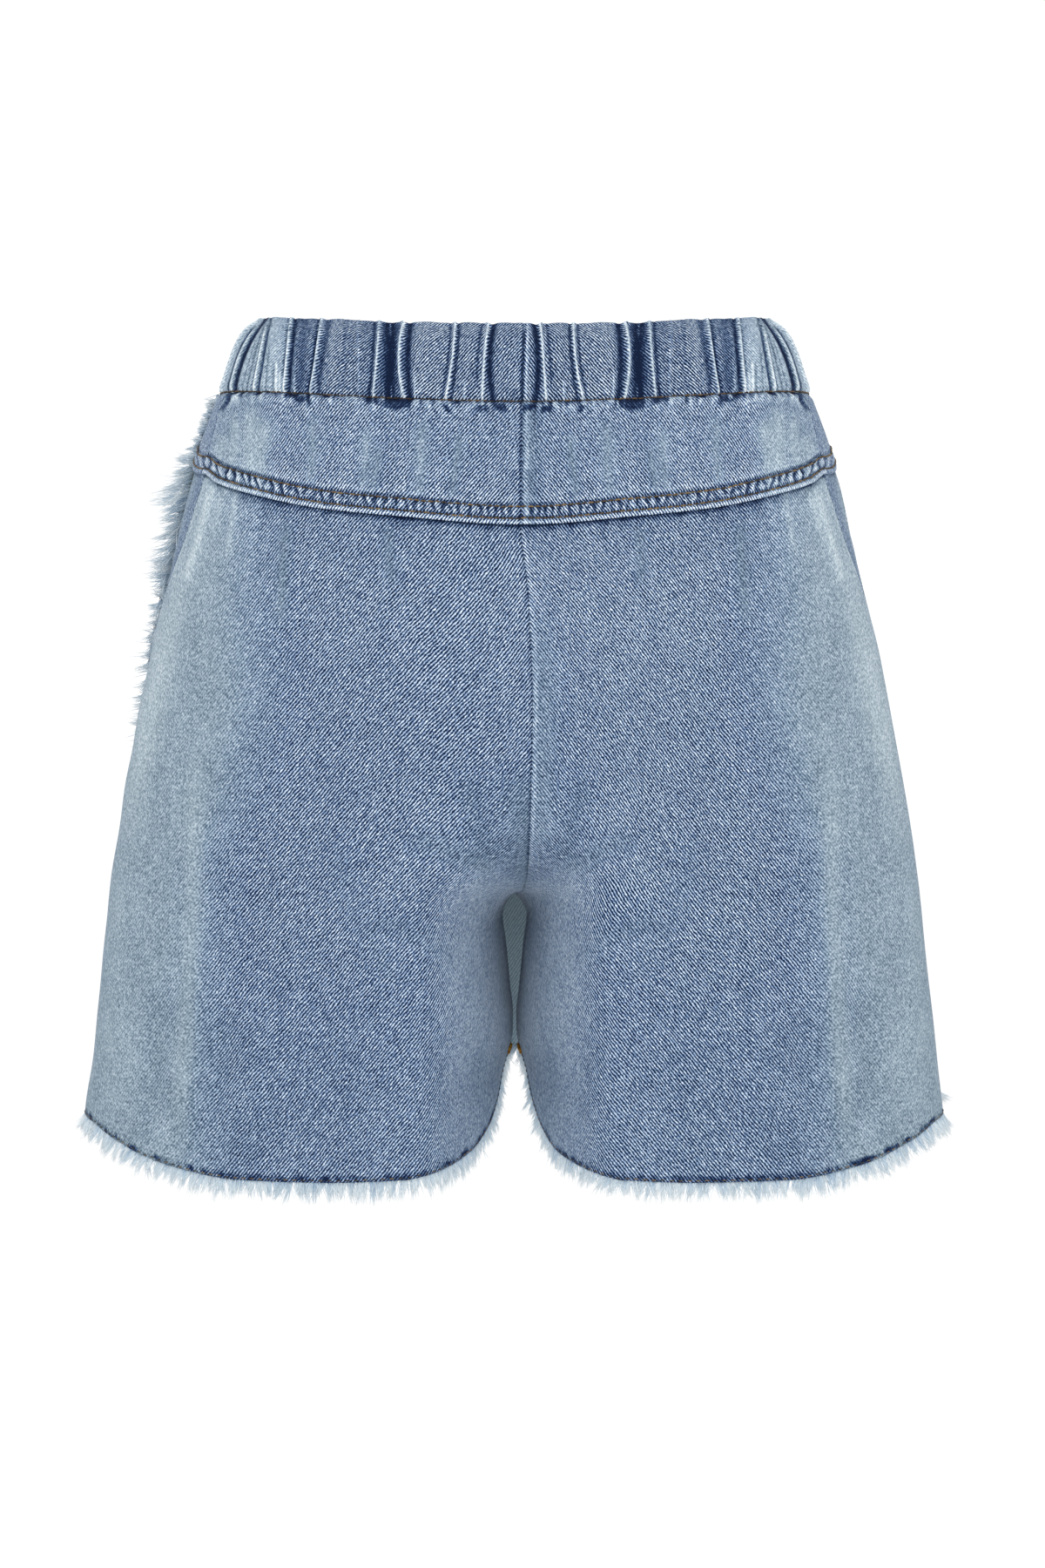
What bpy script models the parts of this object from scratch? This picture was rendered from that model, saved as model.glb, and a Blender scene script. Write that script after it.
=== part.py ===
"""Denim skort: a pair of shorts with a frayed wrap flap over the front.

The garment keeps the hollow form it has when filled out.  Metres, +Z up.
+X is the wearer's left, -Y the wearer's front, and the origin is the middle of the waist opening,
halfway up the waistband, where the wearer's waist holds it.
"""
import math
import random
from collections import namedtuple

import bmesh
import bpy
from mathutils import Vector

MM = 0.001

# ---------------------------------------------------------------- driving dimensions
DENIM = 1.2 * MM                # thickness of one denim wall
SEAM_GAP = 0.3 * MM             # clearance between two pieces that are sewn together
YOKE_LIFT = DENIM + SEAM_GAP    # the yoke lies on the leg panels' top edges
YOKE_LAP = 8.4 * MM             # how far the leg panels run up under the yoke
YOKE_MIDDLE = -60.0 * MM        # a height in the lower yoke, where its seam is looked up
SQUARENESS = 2.3                # superellipse power of the body's cross-section

BAND_TOP = 20.8 * MM            # top edge of the waistband at the sides
BAND_BOTTOM = -16.5 * MM        # its bottom edge at the sides
BAND_DIP = 9.0 * MM             # how much lower it sits at centre back and centre front
BAND_WALL = 2.2 * MM            # casing and elastic, in the valley between two gathers
SHOULDER = 0.28                 # place of a gather's shoulder between its crest and the next
SHOULDER_RISE = 0.45            # height of a shoulder, as a share of its crest's
END_RISE = 0.4                  # millimetres that the band's two ends stand out at centre back

CROTCH = -255.5 * MM            # height of the crotch point
TUCK_START = -178.0 * MM        # where the centre seams start to curve in towards the crotch
TUCK_POWER = 3.0                # squareness of that curve
CORNER = 50.0 * MM              # how far the leg's inner corner reaches from the centre
CORNER_POWER = 2.1              # squareness of that corner
SPLAY = 20.0 * MM               # how the leg's inner wall leans away from the inseam
INNER = 0.45                    # share of a leg panel's width that turns in towards the inseam

FRINGE_ROOT = 2.5 * MM          # height of the woven strip that the frayed locks grow from
HEM_FRINGE = 8.5 * MM           # length of a lock at the hems
FLAP_FRINGE = 15.0 * MM         # length of a lock at the flap's side

FLAP_LIFT = 3.5 * MM            # the flap's outer face above the leg panels' outer face
FLAP_DROP = 335.0 * MM          # length of the flap at its sewn side
FLAP_ROUND = 2.35               # squareness of the flap's curved free edge
FLAP_SEWN = 2.90                # turn, from centre back, where the flap is sewn on
FLAP_FREE = 0.985               # turn where its free edge starts at the waistband
FLAP_FLARE = 1.2 * MM           # how far the free edge stands off at the wearer's left side

# The body's cross-section, outer face of the leg panels.  Millimetres.
Section = namedtuple("Section", "height half_width back front")
SECTIONS = (
    Section(20.8, 122.9, 80.0, 76.0),
    Section(14.0, 129.3, 86.0, 81.0),
    Section(7.0, 133.2, 89.0, 84.0),
    Section(-9.0, 138.7, 92.5, 87.5),
    Section(-17.0, 141.5, 94.5, 89.5),
    Section(-35.0, 148.3, 100.0, 95.0),
    Section(-48.0, 152.5, 104.0, 99.0),
    Section(-61.0, 156.6, 108.0, 102.0),
    Section(-86.0, 162.1, 114.0, 106.5),
    Section(-136.0, 174.2, 122.0, 111.0),
    Section(-187.0, 184.1, 124.0, 112.0),
    Section(-237.0, 192.4, 122.5, 112.5),
    Section(-287.0, 198.2, 121.0, 114.0),
    Section(-338.0, 203.3, 120.0, 116.5),
    Section(-361.0, 206.2, 119.5, 117.5),
    Section(-392.0, 209.0, 119.0, 119.0),
)

# The side seam, as a turn: 0 is centre back, 1 the side, 2 centre front.  Heights in millimetres.
SideSeam = namedtuple("SideSeam", "height turn")
SIDE_SEAM = (
    SideSeam(-17.0, 0.83),
    SideSeam(-56.0, 0.80),
    SideSeam(-86.0, 0.84),
    SideSeam(-104.0, 0.89),
    SideSeam(-130.0, 0.96),
    SideSeam(-150.0, 1.0),
    SideSeam(-400.0, 1.0),
)

# Sideways drift of the centre back seam, towards the wearer's right.  Millimetres.
Drift = namedtuple("Drift", "height shift")
CENTRE_DRIFT = (
    Drift(21.0, 4.6),
    Drift(-20.0, 3.6),
    Drift(-83.0, 3.0),
    Drift(-115.0, 6.4),
    Drift(-165.0, 8.4),
    Drift(-205.0, 7.8),
    Drift(-245.0, 6.2),
    Drift(-262.0, 1.5),
    Drift(-272.0, 0.0),
    Drift(-400.0, 0.0),
)
DRIFT_REACH = 55.0 * MM         # how far from the centre the drift is felt

# Lower edge of the yoke, by turn from the centre.  Millimetres.
YokeEdge = namedtuple("YokeEdge", "turn back front")
YOKE_EDGE = (
    YokeEdge(0.0, -83.5, -45.0),
    YokeEdge(0.28, -78.8, -44.0),
    YokeEdge(0.42, -75.2, -43.5),
    YokeEdge(0.60, -67.5, -43.5),
    YokeEdge(0.72, -61.5, -44.0),
    YokeEdge(0.80, -56.5, -45.0),
    YokeEdge(1.00, -56.5, -49.5),
    YokeEdge(1.20, -56.5, -56.5),
)

# The hem, by position across a leg panel from inseam (0) to side seam (1).  Millimetres.
Hem = namedtuple("Hem", "across back front")
HEM = (
    Hem(0.0, -331.5, -331.5),
    Hem(0.03, -338.0, -337.0),
    Hem(0.07, -352.0, -349.0),
    Hem(0.13, -366.0, -361.0),
    Hem(0.20, -375.5, -369.5),
    Hem(0.32, -382.7, -376.0),
    Hem(0.45, -387.0, -380.0),
    Hem(0.54, -388.6, -381.5),
    Hem(0.64, -388.0, -381.5),
    Hem(0.73, -382.5, -377.5),
    Hem(0.82, -372.5, -370.0),
    Hem(0.91, -363.5, -363.5),
    Hem(1.0, -361.0, -361.0),
)

# Half the gap between the legs, by height.  Millimetres.
LegGap = namedtuple("LegGap", "height half_gap")
LEG_GAP = (
    LegGap(-255.5, 0.2),
    LegGap(-259.0, 3.0),
    LegGap(-266.0, 5.8),
    LegGap(-279.0, 4.2),
    LegGap(-300.0, 2.2),
    LegGap(-313.0, 0.8),
    LegGap(-322.0, 0.9),
    LegGap(-331.0, 2.4),
    LegGap(-342.0, 4.0),
    LegGap(-392.0, 5.0),
)

# Gathers of the waistband in one quarter: crest positions from the centre, at the band's
# top and bottom edge, and how far the crest stands out.  Millimetres.
Gather = namedtuple("Gather", "top bottom height")
GATHERS = (
    Gather(4.6, 5.2, 1.2),
    Gather(12.4, 15.0, 2.0),
    Gather(20.2, 23.4, 1.2),
    Gather(28.4, 32.6, 2.0),
    Gather(39.6, 41.0, 1.3),
    Gather(52.4, 51.6, 2.0),
    Gather(63.4, 66.2, 2.0),
    Gather(72.0, 74.4, 0.9),
    Gather(80.6, 84.4, 1.1),
    Gather(91.2, 95.6, 1.7),
    Gather(100.2, 104.4, 1.1),
    Gather(110.8, 116.0, 1.3),
    Gather(119.4, 127.4, 1.1),
    Gather(127.2, 137.6, 1.2),
)

# Columns across a leg panel or yoke, from centre to side seam.  The thin columns at the
# seams keep the cut edges square to the cloth.
ACROSS = (0.0, 0.012, 0.045, 0.09, 0.15, 0.23, 0.33, INNER, 0.54, 0.63, 0.71, 0.79, 0.86, 0.93, 0.99, 1.0)

# Columns across the flap, from its sewn side; they close up towards its free side.
FLAP_ACROSS = (
    0.0, 0.01, 0.04, 0.075, 0.115, 0.16, 0.21, 0.265, 0.32, 0.38, 0.44, 0.5, 0.56,
    0.62, 0.68, 0.735, 0.785, 0.83, 0.87, 0.905, 0.935, 0.958, 0.976, 0.989, 0.998,
)

HEM_LOCK_PITCH = 9.4 * MM       # width of a lock's root at the hems
FLAP_LOCK_PITCH = 9.0 * MM      # and along the flap
LOCK_TAPER = 0.55               # a lock's width at its bend, as a share of its root's
LOCK_RISE = 0.2                 # how far a lock goes straight off the edge before it bends
LOCK_BEND = 0.3                 # place of the bend, as a share of the way to the tip

# Rows of the grids, as shares of the way down each piece or stretch.
BAND_LEVELS = (0.0, 0.3, 0.72, 1.0)
YOKE_LEVELS = (0.0, 0.12, 0.45, 0.8, 1.0)
UPPER_LEVELS = (0.0, 0.1, 0.4, 0.7, 1.0)
TUCK_LEVELS = (0.22, 0.42, 0.6, 0.75, 0.87, 0.95, 1.0)
LEG_LEVELS = (0.05, 0.14, 0.36, 0.68, 1.0)
FLAP_LEVELS = (0.0, 0.05, 0.11, 0.18, 0.27, 0.4, 0.55, 0.7, 0.85, 1.0)

BLUE = (0.212, 0.278, 0.397)
PALE_BLUE = (0.262, 0.335, 0.442)
DEEP_BLUE = (0.148, 0.208, 0.332)
WHITE_THREAD = (0.56, 0.64, 0.71)


# ---------------------------------------------------------------- small helpers
def read(table, key, column):
    """Smooth curve through a table's column, keyed on its first column."""
    rows = sorted(table, key=lambda row: row[0])
    keys = [row[0] for row in rows]
    values = [getattr(row, column) for row in rows]
    if key <= keys[0]:
        return values[0]
    if key >= keys[-1]:
        return values[-1]
    i = max(k for k in range(len(keys) - 1) if keys[k] <= key)

    def slope(k):
        if k == 0 or k == len(keys) - 1:
            return 0.0
        before = (values[k] - values[k - 1]) / (keys[k] - keys[k - 1])
        after = (values[k + 1] - values[k]) / (keys[k + 1] - keys[k])
        if before * after <= 0.0:
            return 0.0
        return 2.0 * before * after / (before + after)

    span = keys[i + 1] - keys[i]
    s = (key - keys[i]) / span
    start = (2 * s**3 - 3 * s**2 + 1) * values[i] + (s**3 - 2 * s**2 + s) * span * slope(i)
    end = (3 * s**2 - 2 * s**3) * values[i + 1] + (s**3 - s**2) * span * slope(i + 1)
    return start + end


def mix(a, b, share):
    return a + (b - a) * share


def ease(value):
    """Smooth step from 0 to 1."""
    value = min(1.0, max(0.0, value))
    return value * value * (3.0 - 2.0 * value)


# ---------------------------------------------------------------- the body's form
def quarter_angles(steps=240, half_width=0.17, depth=0.115):
    """Angles at even steps of arc length along a quarter of the section, centre to side."""
    power = 2.0 / SQUARENESS
    angles = [math.pi / 2 * (1 - i / steps) for i in range(steps + 1)]
    lengths = [0.0]
    for a, b in zip(angles, angles[1:]):
        across = half_width * (abs(math.cos(b))**power - abs(math.cos(a))**power)
        along = depth * (abs(math.sin(b))**power - abs(math.sin(a))**power)
        lengths.append(lengths[-1] + math.hypot(across, along))
    return angles, [length / lengths[-1] for length in lengths]


ANGLES, SHARES = quarter_angles()


def angle_at(share):
    """Angle of the point at this share of a quarter arc; 0 is the centre, 1 the side."""
    share = min(1.0, max(0.0, share))
    for i in range(len(SHARES) - 1):
        if SHARES[i + 1] >= share:
            part = (share - SHARES[i]) / (SHARES[i + 1] - SHARES[i])
            return mix(ANGLES[i], ANGLES[i + 1], part)
    return 0.0


def share_at(angle):
    """Share of the quarter arc at this angle."""
    position = (1.0 - angle / (math.pi / 2)) * (len(ANGLES) - 1)
    i = min(int(position), len(ANGLES) - 2)
    return mix(SHARES[i], SHARES[i + 1], position - i)


def half_width(z):
    return read(SECTIONS, z / MM, "half_width") * MM


def depth(z, front):
    return read(SECTIONS, z / MM, "front" if front else "back") * MM


def body(turn, z):
    """Point of the body's outer face; turn 0 and 4 are centre back, 1 the wearer's left side."""
    turn = turn % 4.0
    share = (turn, 2.0 - turn, turn - 2.0, 4.0 - turn)[int(turn)]
    front = 1.0 < turn < 3.0
    left = turn <= 2.0
    angle = angle_at(share)
    power = 2.0 / SQUARENESS
    x = half_width(z) * max(0.0, math.cos(angle))**power
    y = depth(z, front) * max(0.0, math.sin(angle))**power
    return Vector((x if left else -x, -y if front else y, z))


def body_normal(turn, z):
    step = 2e-3
    around = body(turn + step, z) - body(turn - step, z)
    up = body(turn, z + step) - body(turn, z - step)
    return up.cross(around).normalized()


def lifted(turn, z, lift):
    """Point of the body's form moved outwards."""
    return body(turn, z) + body_normal(turn, z) * lift


def drifted(point):
    """Moves a point of the back with the centre back seam's sideways drift."""
    shift = read(CENTRE_DRIFT, point.z / MM, "shift") * MM
    near = math.exp(-(point.x / DRIFT_REACH)**2) * ease(point.y / 0.05)
    return Vector((point.x - shift * near, point.y, point.z))


def band_level(turn):
    """How much lower the waistband sits here than at the sides."""
    return BAND_DIP * (1.0 - math.cos(math.pi * (turn - 1.0))) / 2.0


def side_turn(z):
    return read(SIDE_SEAM, z / MM, "turn")


def panel_share(across, z, front):
    """Share of the quarter arc at a position across a panel; 0 centre, 1 side seam."""
    corner = share_at(math.acos((CORNER / half_width(z))**(SQUARENESS / 2)))
    seam = 2.0 - side_turn(z) if front else side_turn(z)
    if across <= INNER:
        return corner * across / INNER
    return mix(corner, seam, (across - INNER) / (1.0 - INNER))


def panel_turn(across, z, front):
    share = panel_share(across, z, front)
    return 2.0 - share if front else share


def tuck(z):
    """0 where the centre seam lies on the body, 1 where it has reached the crotch."""
    if z >= TUCK_START:
        return 0.0
    if z <= CROTCH:
        return 1.0
    down = (TUCK_START - z) / (TUCK_START - CROTCH)
    return 1.0 - (1.0 - down**TUCK_POWER)**(1.0 / TUCK_POWER)


def leg_corner(across, z, front):
    """Point of the leg's inner wall and rounded corner, from the inseam out to CORNER."""
    gap = read(LEG_GAP, z / MM, "half_gap") * MM
    share = across / INNER
    angle = math.pi / 2 * share
    power = 2.0 / CORNER_POWER
    x = gap + (CORNER - gap) * (1.0 - max(0.0, math.cos(angle))**power)
    x += SPLAY * share * (1.0 - share)
    edge = depth(z, front) * (1.0 - (x / half_width(z))**SQUARENESS)**(1.0 / SQUARENESS)
    y = edge * math.sin(angle)**power
    return Vector((x, -y if front else y, z))


def leg_point(across, z, front):
    """Point of a left leg panel's outer face."""
    point = body(panel_turn(across, z, front), z)
    amount = tuck(z)
    if amount > 0.0 and across < INNER:
        point = point.lerp(leg_corner(across, z, front), amount)
    return point


def yoke_edge(across, front):
    """Height of the yoke's lower edge at a position across a panel."""
    share = panel_share(across, YOKE_MIDDLE, front)
    return read(YOKE_EDGE, share, "front" if front else "back") * MM


def hem_edge(across, front):
    return read(HEM, across, "front" if front else "back") * MM


# ---------------------------------------------------------------- building objects
def material(name, colour, roughness):
    made = bpy.data.materials.new(name)
    made.use_nodes = True
    shader = made.node_tree.nodes["Principled BSDF"]
    shader.inputs["Base Color"].default_value = (*colour, 1.0)
    shader.inputs["Roughness"].default_value = roughness
    shader.inputs["Metallic"].default_value = 0.0
    return made


def add_object(name, mesh, colour, roughness=0.9):
    made = bpy.data.objects.new(name, mesh)
    mesh.materials.append(material(name + "_cloth", colour, roughness))
    GARMENT.objects.link(made)
    return made


def grid_mesh(name, grid, flip):
    """Open sheet through rows of points, each row running from the centre outwards."""
    columns = len(grid[0])
    points = [point for row in grid for point in row]
    faces = []
    for r in range(len(grid) - 1):
        for c in range(columns - 1):
            a = r * columns + c
            face = (a, a + columns, a + columns + 1, a + 1)
            faces.append(face[::-1] if flip else face)
    mesh = bpy.data.meshes.new(name)
    mesh.from_pydata(points, [], faces)
    mesh.shade_smooth()
    return mesh


def cloth(name, grid, flip, colour, wall=DENIM):
    """A wall of cloth grown inwards from its outer face."""
    made = add_object(name, grid_mesh(name, grid, flip), colour)
    thick = made.modifiers.new("thickness", "SOLIDIFY")
    thick.thickness = wall
    thick.offset = -1.0
    thick.use_even_offset = False
    thick.use_rim = True
    return made


def loft_mesh(name, rings):
    """Closed body through rings of four points, capped at both ends."""
    points = [point for ring in rings for point in ring]
    faces = [(0, 1, 2, 3)]
    for i in range(len(rings) - 1):
        for side in range(4):
            a = i * 4 + side
            b = i * 4 + (side + 1) % 4
            faces.append((a, a + 4, b + 4, b))
    last = (len(rings) - 1) * 4
    faces.append((last + 3, last + 2, last + 1, last))
    mesh = bpy.data.meshes.new(name)
    mesh.from_pydata(points, [], faces)
    return mesh


# ---------------------------------------------------------------- waistband
def gather_turns(column):
    """Turns of every gather's crest, all the way round, at one edge of the band."""
    z = BAND_TOP if column == "top" else BAND_BOTTOM
    width = half_width(z) + 1.0 * MM
    quarter = []
    for gather in GATHERS:
        sideways = min(0.995, getattr(gather, column) * MM / width)
        quarter.append(share_at(math.acos(sideways**(SQUARENESS / 2))))
    mirrored = [2.0 - share for share in reversed(quarter)]
    half = quarter + mirrored
    return half + [4.0 - turn for turn in reversed(half)]


def build_waistband():
    """One gathered casing, from centre back all the way round to centre back."""
    top = gather_turns("top")
    bottom = gather_turns("bottom")
    heights = [gather.height for gather in GATHERS]
    half = heights + heights[::-1]
    crests = half + half[::-1]
    columns = [(0.0, 0.0, END_RISE)]
    for i, rise in enumerate(crests):
        last = i == len(crests) - 1
        before_top = top[i - 1] if i else -top[0]
        before_bottom = bottom[i - 1] if i else -bottom[0]
        after_top = 8.0 - top[i] if last else top[i + 1]
        after_bottom = 8.0 - bottom[i] if last else bottom[i + 1]
        shoulder = SHOULDER_RISE * rise
        if i:
            near_top = mix(top[i], before_top, SHOULDER)
            near_bottom = mix(bottom[i], before_bottom, SHOULDER)
            columns.append((near_top, near_bottom, shoulder))
        columns.append((top[i], bottom[i], rise))
        far_top = mix(top[i], after_top, SHOULDER)
        far_bottom = mix(bottom[i], after_bottom, SHOULDER)
        columns.append((far_top, far_bottom, shoulder))
        if not last:
            columns.append((mix(top[i], after_top, 0.5), mix(bottom[i], after_bottom, 0.5), 0.0))
    columns.append((4.0, 4.0, END_RISE))
    inset = SEAM_GAP / 2 / half_width(0.0)
    outer = []
    inner = []
    for level in BAND_LEVELS:
        outer_row = []
        inner_row = []
        for turn_top, turn_bottom, rise in columns:
            turn = min(4.0 - inset, max(inset, mix(turn_bottom, turn_top, level)))
            z = mix(BAND_BOTTOM, BAND_TOP, level)
            drop = Vector((0.0, 0.0, -band_level(turn)))
            outer_row.append(drifted(lifted(turn, z, rise * MM) + drop))
            inner_row.append(drifted(lifted(turn, z, -BAND_WALL) + drop))
        outer.append(outer_row)
        inner.append(inner_row)
    return add_object("waistband", wall_mesh("waistband", outer, inner), BLUE)


def wall_mesh(name, outer, inner):
    """Closed wall between an outer and an inner sheet with the same rows and columns."""
    rows = len(outer)
    columns = len(outer[0])
    points = [p for row in outer for p in row] + [p for row in inner for p in row]
    base = rows * columns
    faces = []
    for r in range(rows - 1):
        for c in range(columns - 1):
            a = r * columns + c
            faces.append((a, a + columns, a + columns + 1, a + 1))
            faces.append((base + a, base + a + 1, base + a + columns + 1, base + a + columns))
    border = list(range(columns))
    border += [r * columns + columns - 1 for r in range(1, rows)]
    border += [(rows - 1) * columns + c for c in range(columns - 2, -1, -1)]
    border += [r * columns for r in range(rows - 2, 0, -1)]
    for a, b in zip(border, border[1:] + border[:1]):
        faces.append((a, b, base + b, base + a))
    mesh = bpy.data.meshes.new(name)
    mesh.from_pydata(points, [], faces)
    mesh.shade_smooth()
    return mesh


# ---------------------------------------------------------------- panels
def trimmed(row, keep_centre):
    """Draws the two ends of a row in from the seams by half the seam gap."""
    row = [point.copy() for point in row]
    if keep_centre:
        row[0].x = SEAM_GAP / 2
    else:
        row[0] += (row[1] - row[0]).normalized() * SEAM_GAP / 2
    row[-1] += (row[-2] - row[-1]).normalized() * SEAM_GAP / 2
    return [Vector((max(point.x, SEAM_GAP / 2), point.y, point.z)) for point in row]


def sided(grid, left):
    """The grid as made on the wearer's left, or mirrored to the right, with the seam's drift."""
    sign = 1.0 if left else -1.0
    return [[drifted(Vector((sign * p.x, p.y, p.z))) for p in row] for row in grid]


def yoke_grid(front):
    """Rows of a left yoke's outer face, from the waistband down to its lower edge."""
    grid = []
    for level in YOKE_LEVELS:
        row = []
        for across in ACROSS:
            turn = panel_turn(across, BAND_BOTTOM, front)
            high = BAND_BOTTOM - band_level(turn) - SEAM_GAP
            low = yoke_edge(across, front)
            z = mix(high, low, level)
            row.append(lifted(panel_turn(across, z, front), z, YOKE_LIFT))
        grid.append(trimmed(row, True))
    return grid


def leg_rows():
    """A leg panel's rows: the stretch that each lies in, and its share of the way down it."""
    rows = [("upper", share) for share in UPPER_LEVELS]
    rows += [("tuck", share) for share in TUCK_LEVELS]
    rows += [("leg", share) for share in LEG_LEVELS]
    return rows


def leg_height(row, across, front):
    kind, share = row
    if kind == "upper":
        return mix(yoke_edge(across, front) + YOKE_LAP, TUCK_START, share)
    if kind == "tuck":
        down = math.sin(math.pi / 2 * share)**(2.0 / TUCK_POWER)
        return mix(TUCK_START, CROTCH, down)
    return mix(CROTCH, hem_edge(across, front), share)


def leg_grid(front):
    grid = []
    for row_rule in leg_rows():
        row = []
        for across in ACROSS:
            row.append(leg_point(across, leg_height(row_rule, across, front), front))
        in_leg = row_rule[0] == "leg" or row_rule == ("tuck", 1.0)
        grid.append(trimmed(row, not in_leg))
    return grid


def build_panels():
    for place, front in (("back", False), ("front", True)):
        for side, left in (("left", True), ("right", False)):
            flip = left != front
            cloth(f"yoke_{place}_{side}", sided(yoke_grid(front), left), flip, BLUE)
            cloth(f"{place}_{side}", sided(leg_grid(front), left), flip, BLUE)


# ---------------------------------------------------------------- wrap flap
def flap_bottom(share):
    """How far the flap hangs down at a share of its width from its sewn side."""
    return FLAP_DROP * (1.0 - min(1.0, share)**FLAP_ROUND)**(1.0 / FLAP_ROUND)


def flap_lift(share, level):
    flare = FLAP_FLARE * ease((share - 0.86) / 0.14)
    return FLAP_LIFT + flare * ease(level * 3.0)


def flap_point(share, level):
    """Point of the flap's outer face; level 0 is its top edge and 1 its free edge."""
    turn = mix(FLAP_SEWN, FLAP_FREE, share)
    top = BAND_BOTTOM - band_level(turn) - SEAM_GAP
    z = top - flap_bottom(share) * level
    return lifted(turn, z, flap_lift(share, level))


def flap_grid():
    return [[flap_point(share, level) for share in FLAP_ACROSS] for level in FLAP_LEVELS]


def build_flap():
    cloth("flap", flap_grid(), False, DEEP_BLUE)


# ---------------------------------------------------------------- frayed edges
Station = namedtuple("Station", "point outward away")


def edge_stations(edge, inside, pitch, turned=False):
    """Points along a cloth's cut edge, about one pitch apart, with every corner of it kept.

    inside holds the cloth's points next to the edge.  outward is the cloth's normal and away
    points off the edge, in the plane of the cloth.
    """
    corners = []
    for i, point in enumerate(edge):
        along = (edge[min(i + 1, len(edge) - 1)] - edge[max(i - 1, 0)]).normalized()
        down = point - inside[i]
        outward = (down.cross(along) if turned else along.cross(down)).normalized()
        away = (along.cross(outward) if turned else outward.cross(along)).normalized()
        corners.append(Station(point, outward, away))
    stations = [corners[0]]
    for a, b in zip(corners, corners[1:]):
        pieces = max(1, round((b.point - a.point).length / pitch))
        for k in range(1, pieces + 1):
            share = k / pieces
            stations.append(Station(
                a.point.lerp(b.point, share),
                a.outward.lerp(b.outward, share).normalized(),
                a.away.lerp(b.away, share).normalized(),
            ))
    return stations


def strip_mesh(name, stations):
    """The narrow woven strip that a frayed edge grows from, parted from the cloth's edge."""
    rings = []
    for point, outward, away in stations:
        near = point + away * SEAM_GAP
        far = point + away * (SEAM_GAP + FRINGE_ROOT)
        rings.append((near, far, far - outward * DENIM, near - outward * DENIM))
    return loft_mesh(name, rings)


def add_locks(mesh, tips, bends):
    """Draws each face of the strip's free edge out into a tapering lock with a bend."""
    bm = bmesh.new()
    bm.from_mesh(mesh)
    bm.faces.ensure_lookup_table()
    roots = [bm.faces[1 + i * 4 + 1] for i in range(len(tips))]
    for face, tip, bend in zip(roots, tips, bends):
        centre = face.calc_center_median()
        middle = bmesh.ops.extrude_discrete_faces(bm, faces=[face])["faces"][0]
        for vert in middle.verts:
            vert.co = centre + (vert.co - centre) * LOCK_TAPER + bend
        fan = bmesh.ops.poke(bm, faces=[middle])
        fan["verts"][0].co = centre + tip
    bmesh.ops.recalc_face_normals(bm, faces=bm.faces)
    bm.to_mesh(mesh)
    bm.free()


def fringe(name, stations, length_at, lean_at, seed, side=(0, 0)):
    """A strip with its locks, which vary a little in length and direction.

    side holds the signs of the x and y that the fringe keeps to, or 0 where it is free.
    """
    chance = random.Random(seed)
    mesh = strip_mesh(name, stations)
    tips = []
    bends = []
    for i in range(len(stations) - 1):
        a = stations[i]
        b = stations[i + 1]
        share = i / (len(stations) - 2)
        width = b.point - a.point
        lean, droop = lean_at(share)
        way = a.away + b.away + (a.outward + b.outward) * lean + Vector((0.0, 0.0, -2.0 * droop))
        length = length_at(share) * chance.uniform(0.8, 1.0)
        tip = way.normalized() * length + width * chance.uniform(-0.3, 0.3)
        tips.append(tip)
        straight = (a.away + b.away).normalized() * length
        bends.append(straight * LOCK_RISE + tip * LOCK_BEND)
    add_locks(mesh, tips, bends)
    for vertex in mesh.vertices:
        for axis, sign in enumerate(side):
            if sign:
                vertex.co[axis] = sign * max(sign * vertex.co[axis], SEAM_GAP / 2)
    return add_object(name, mesh, WHITE_THREAD, 0.95)


def mirrored_stations(stations, left):
    sign = 1.0 if left else -1.0
    made = []
    for point, outward, away in stations:
        vectors = [Vector((sign * v.x, v.y, v.z)) for v in (point, outward, away)]
        made.append(Station(drifted(vectors[0]), vectors[1], vectors[2]))
    return made


def build_hem_fringes():
    for place, front in (("back", False), ("front", True)):
        grid = leg_grid(front)
        stations = edge_stations(grid[-1], grid[-2], HEM_LOCK_PITCH, turned=front)
        for side, left in (("left", True), ("right", False)):
            fringe(
                f"fringe_{place}_{side}",
                mirrored_stations(stations, left),
                lambda share: HEM_FRINGE,
                lambda share: (0.25 * ease((share - 0.45) / 0.3), 0.0),
                seed=3 if front else 5,
                side=(1 if left else -1, -1 if front else 1),
            )


def flap_fringe_length(share):
    """Short at the waistband, longest down the wearer's side, then as long as at the hems."""
    side = ease((0.42 - share) / 0.12)
    return mix(HEM_FRINGE, FLAP_FRINGE * mix(0.4, 1.0, ease(share / 0.1)), side)


def flap_fringe_lean(share):
    side = ease((0.42 - share) / 0.15)
    return mix(0.2, 1.7, side), mix(0.0, 0.6, side)


def build_flap_fringe():
    grid = flap_grid()
    edge = [row[-1] for row in grid] + grid[-1][-2::-1]
    inside = [row[-2] for row in grid[:-1]] + [grid[-2][-2]] + grid[-2][-2::-1]
    stations = edge_stations(edge, inside, FLAP_LOCK_PITCH)
    fringe("fringe_flap", stations, flap_fringe_length, flap_fringe_lean, seed=11)


# ---------------------------------------------------------------- the whole garment
for old in list(bpy.data.objects):
    bpy.data.objects.remove(old, do_unlink=True)
GARMENT = bpy.data.collections.new("denim_skort")
bpy.context.scene.collection.children.link(GARMENT)

build_waistband()
build_panels()
build_flap()
build_hem_fringes()
build_flap_fringe()
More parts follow.
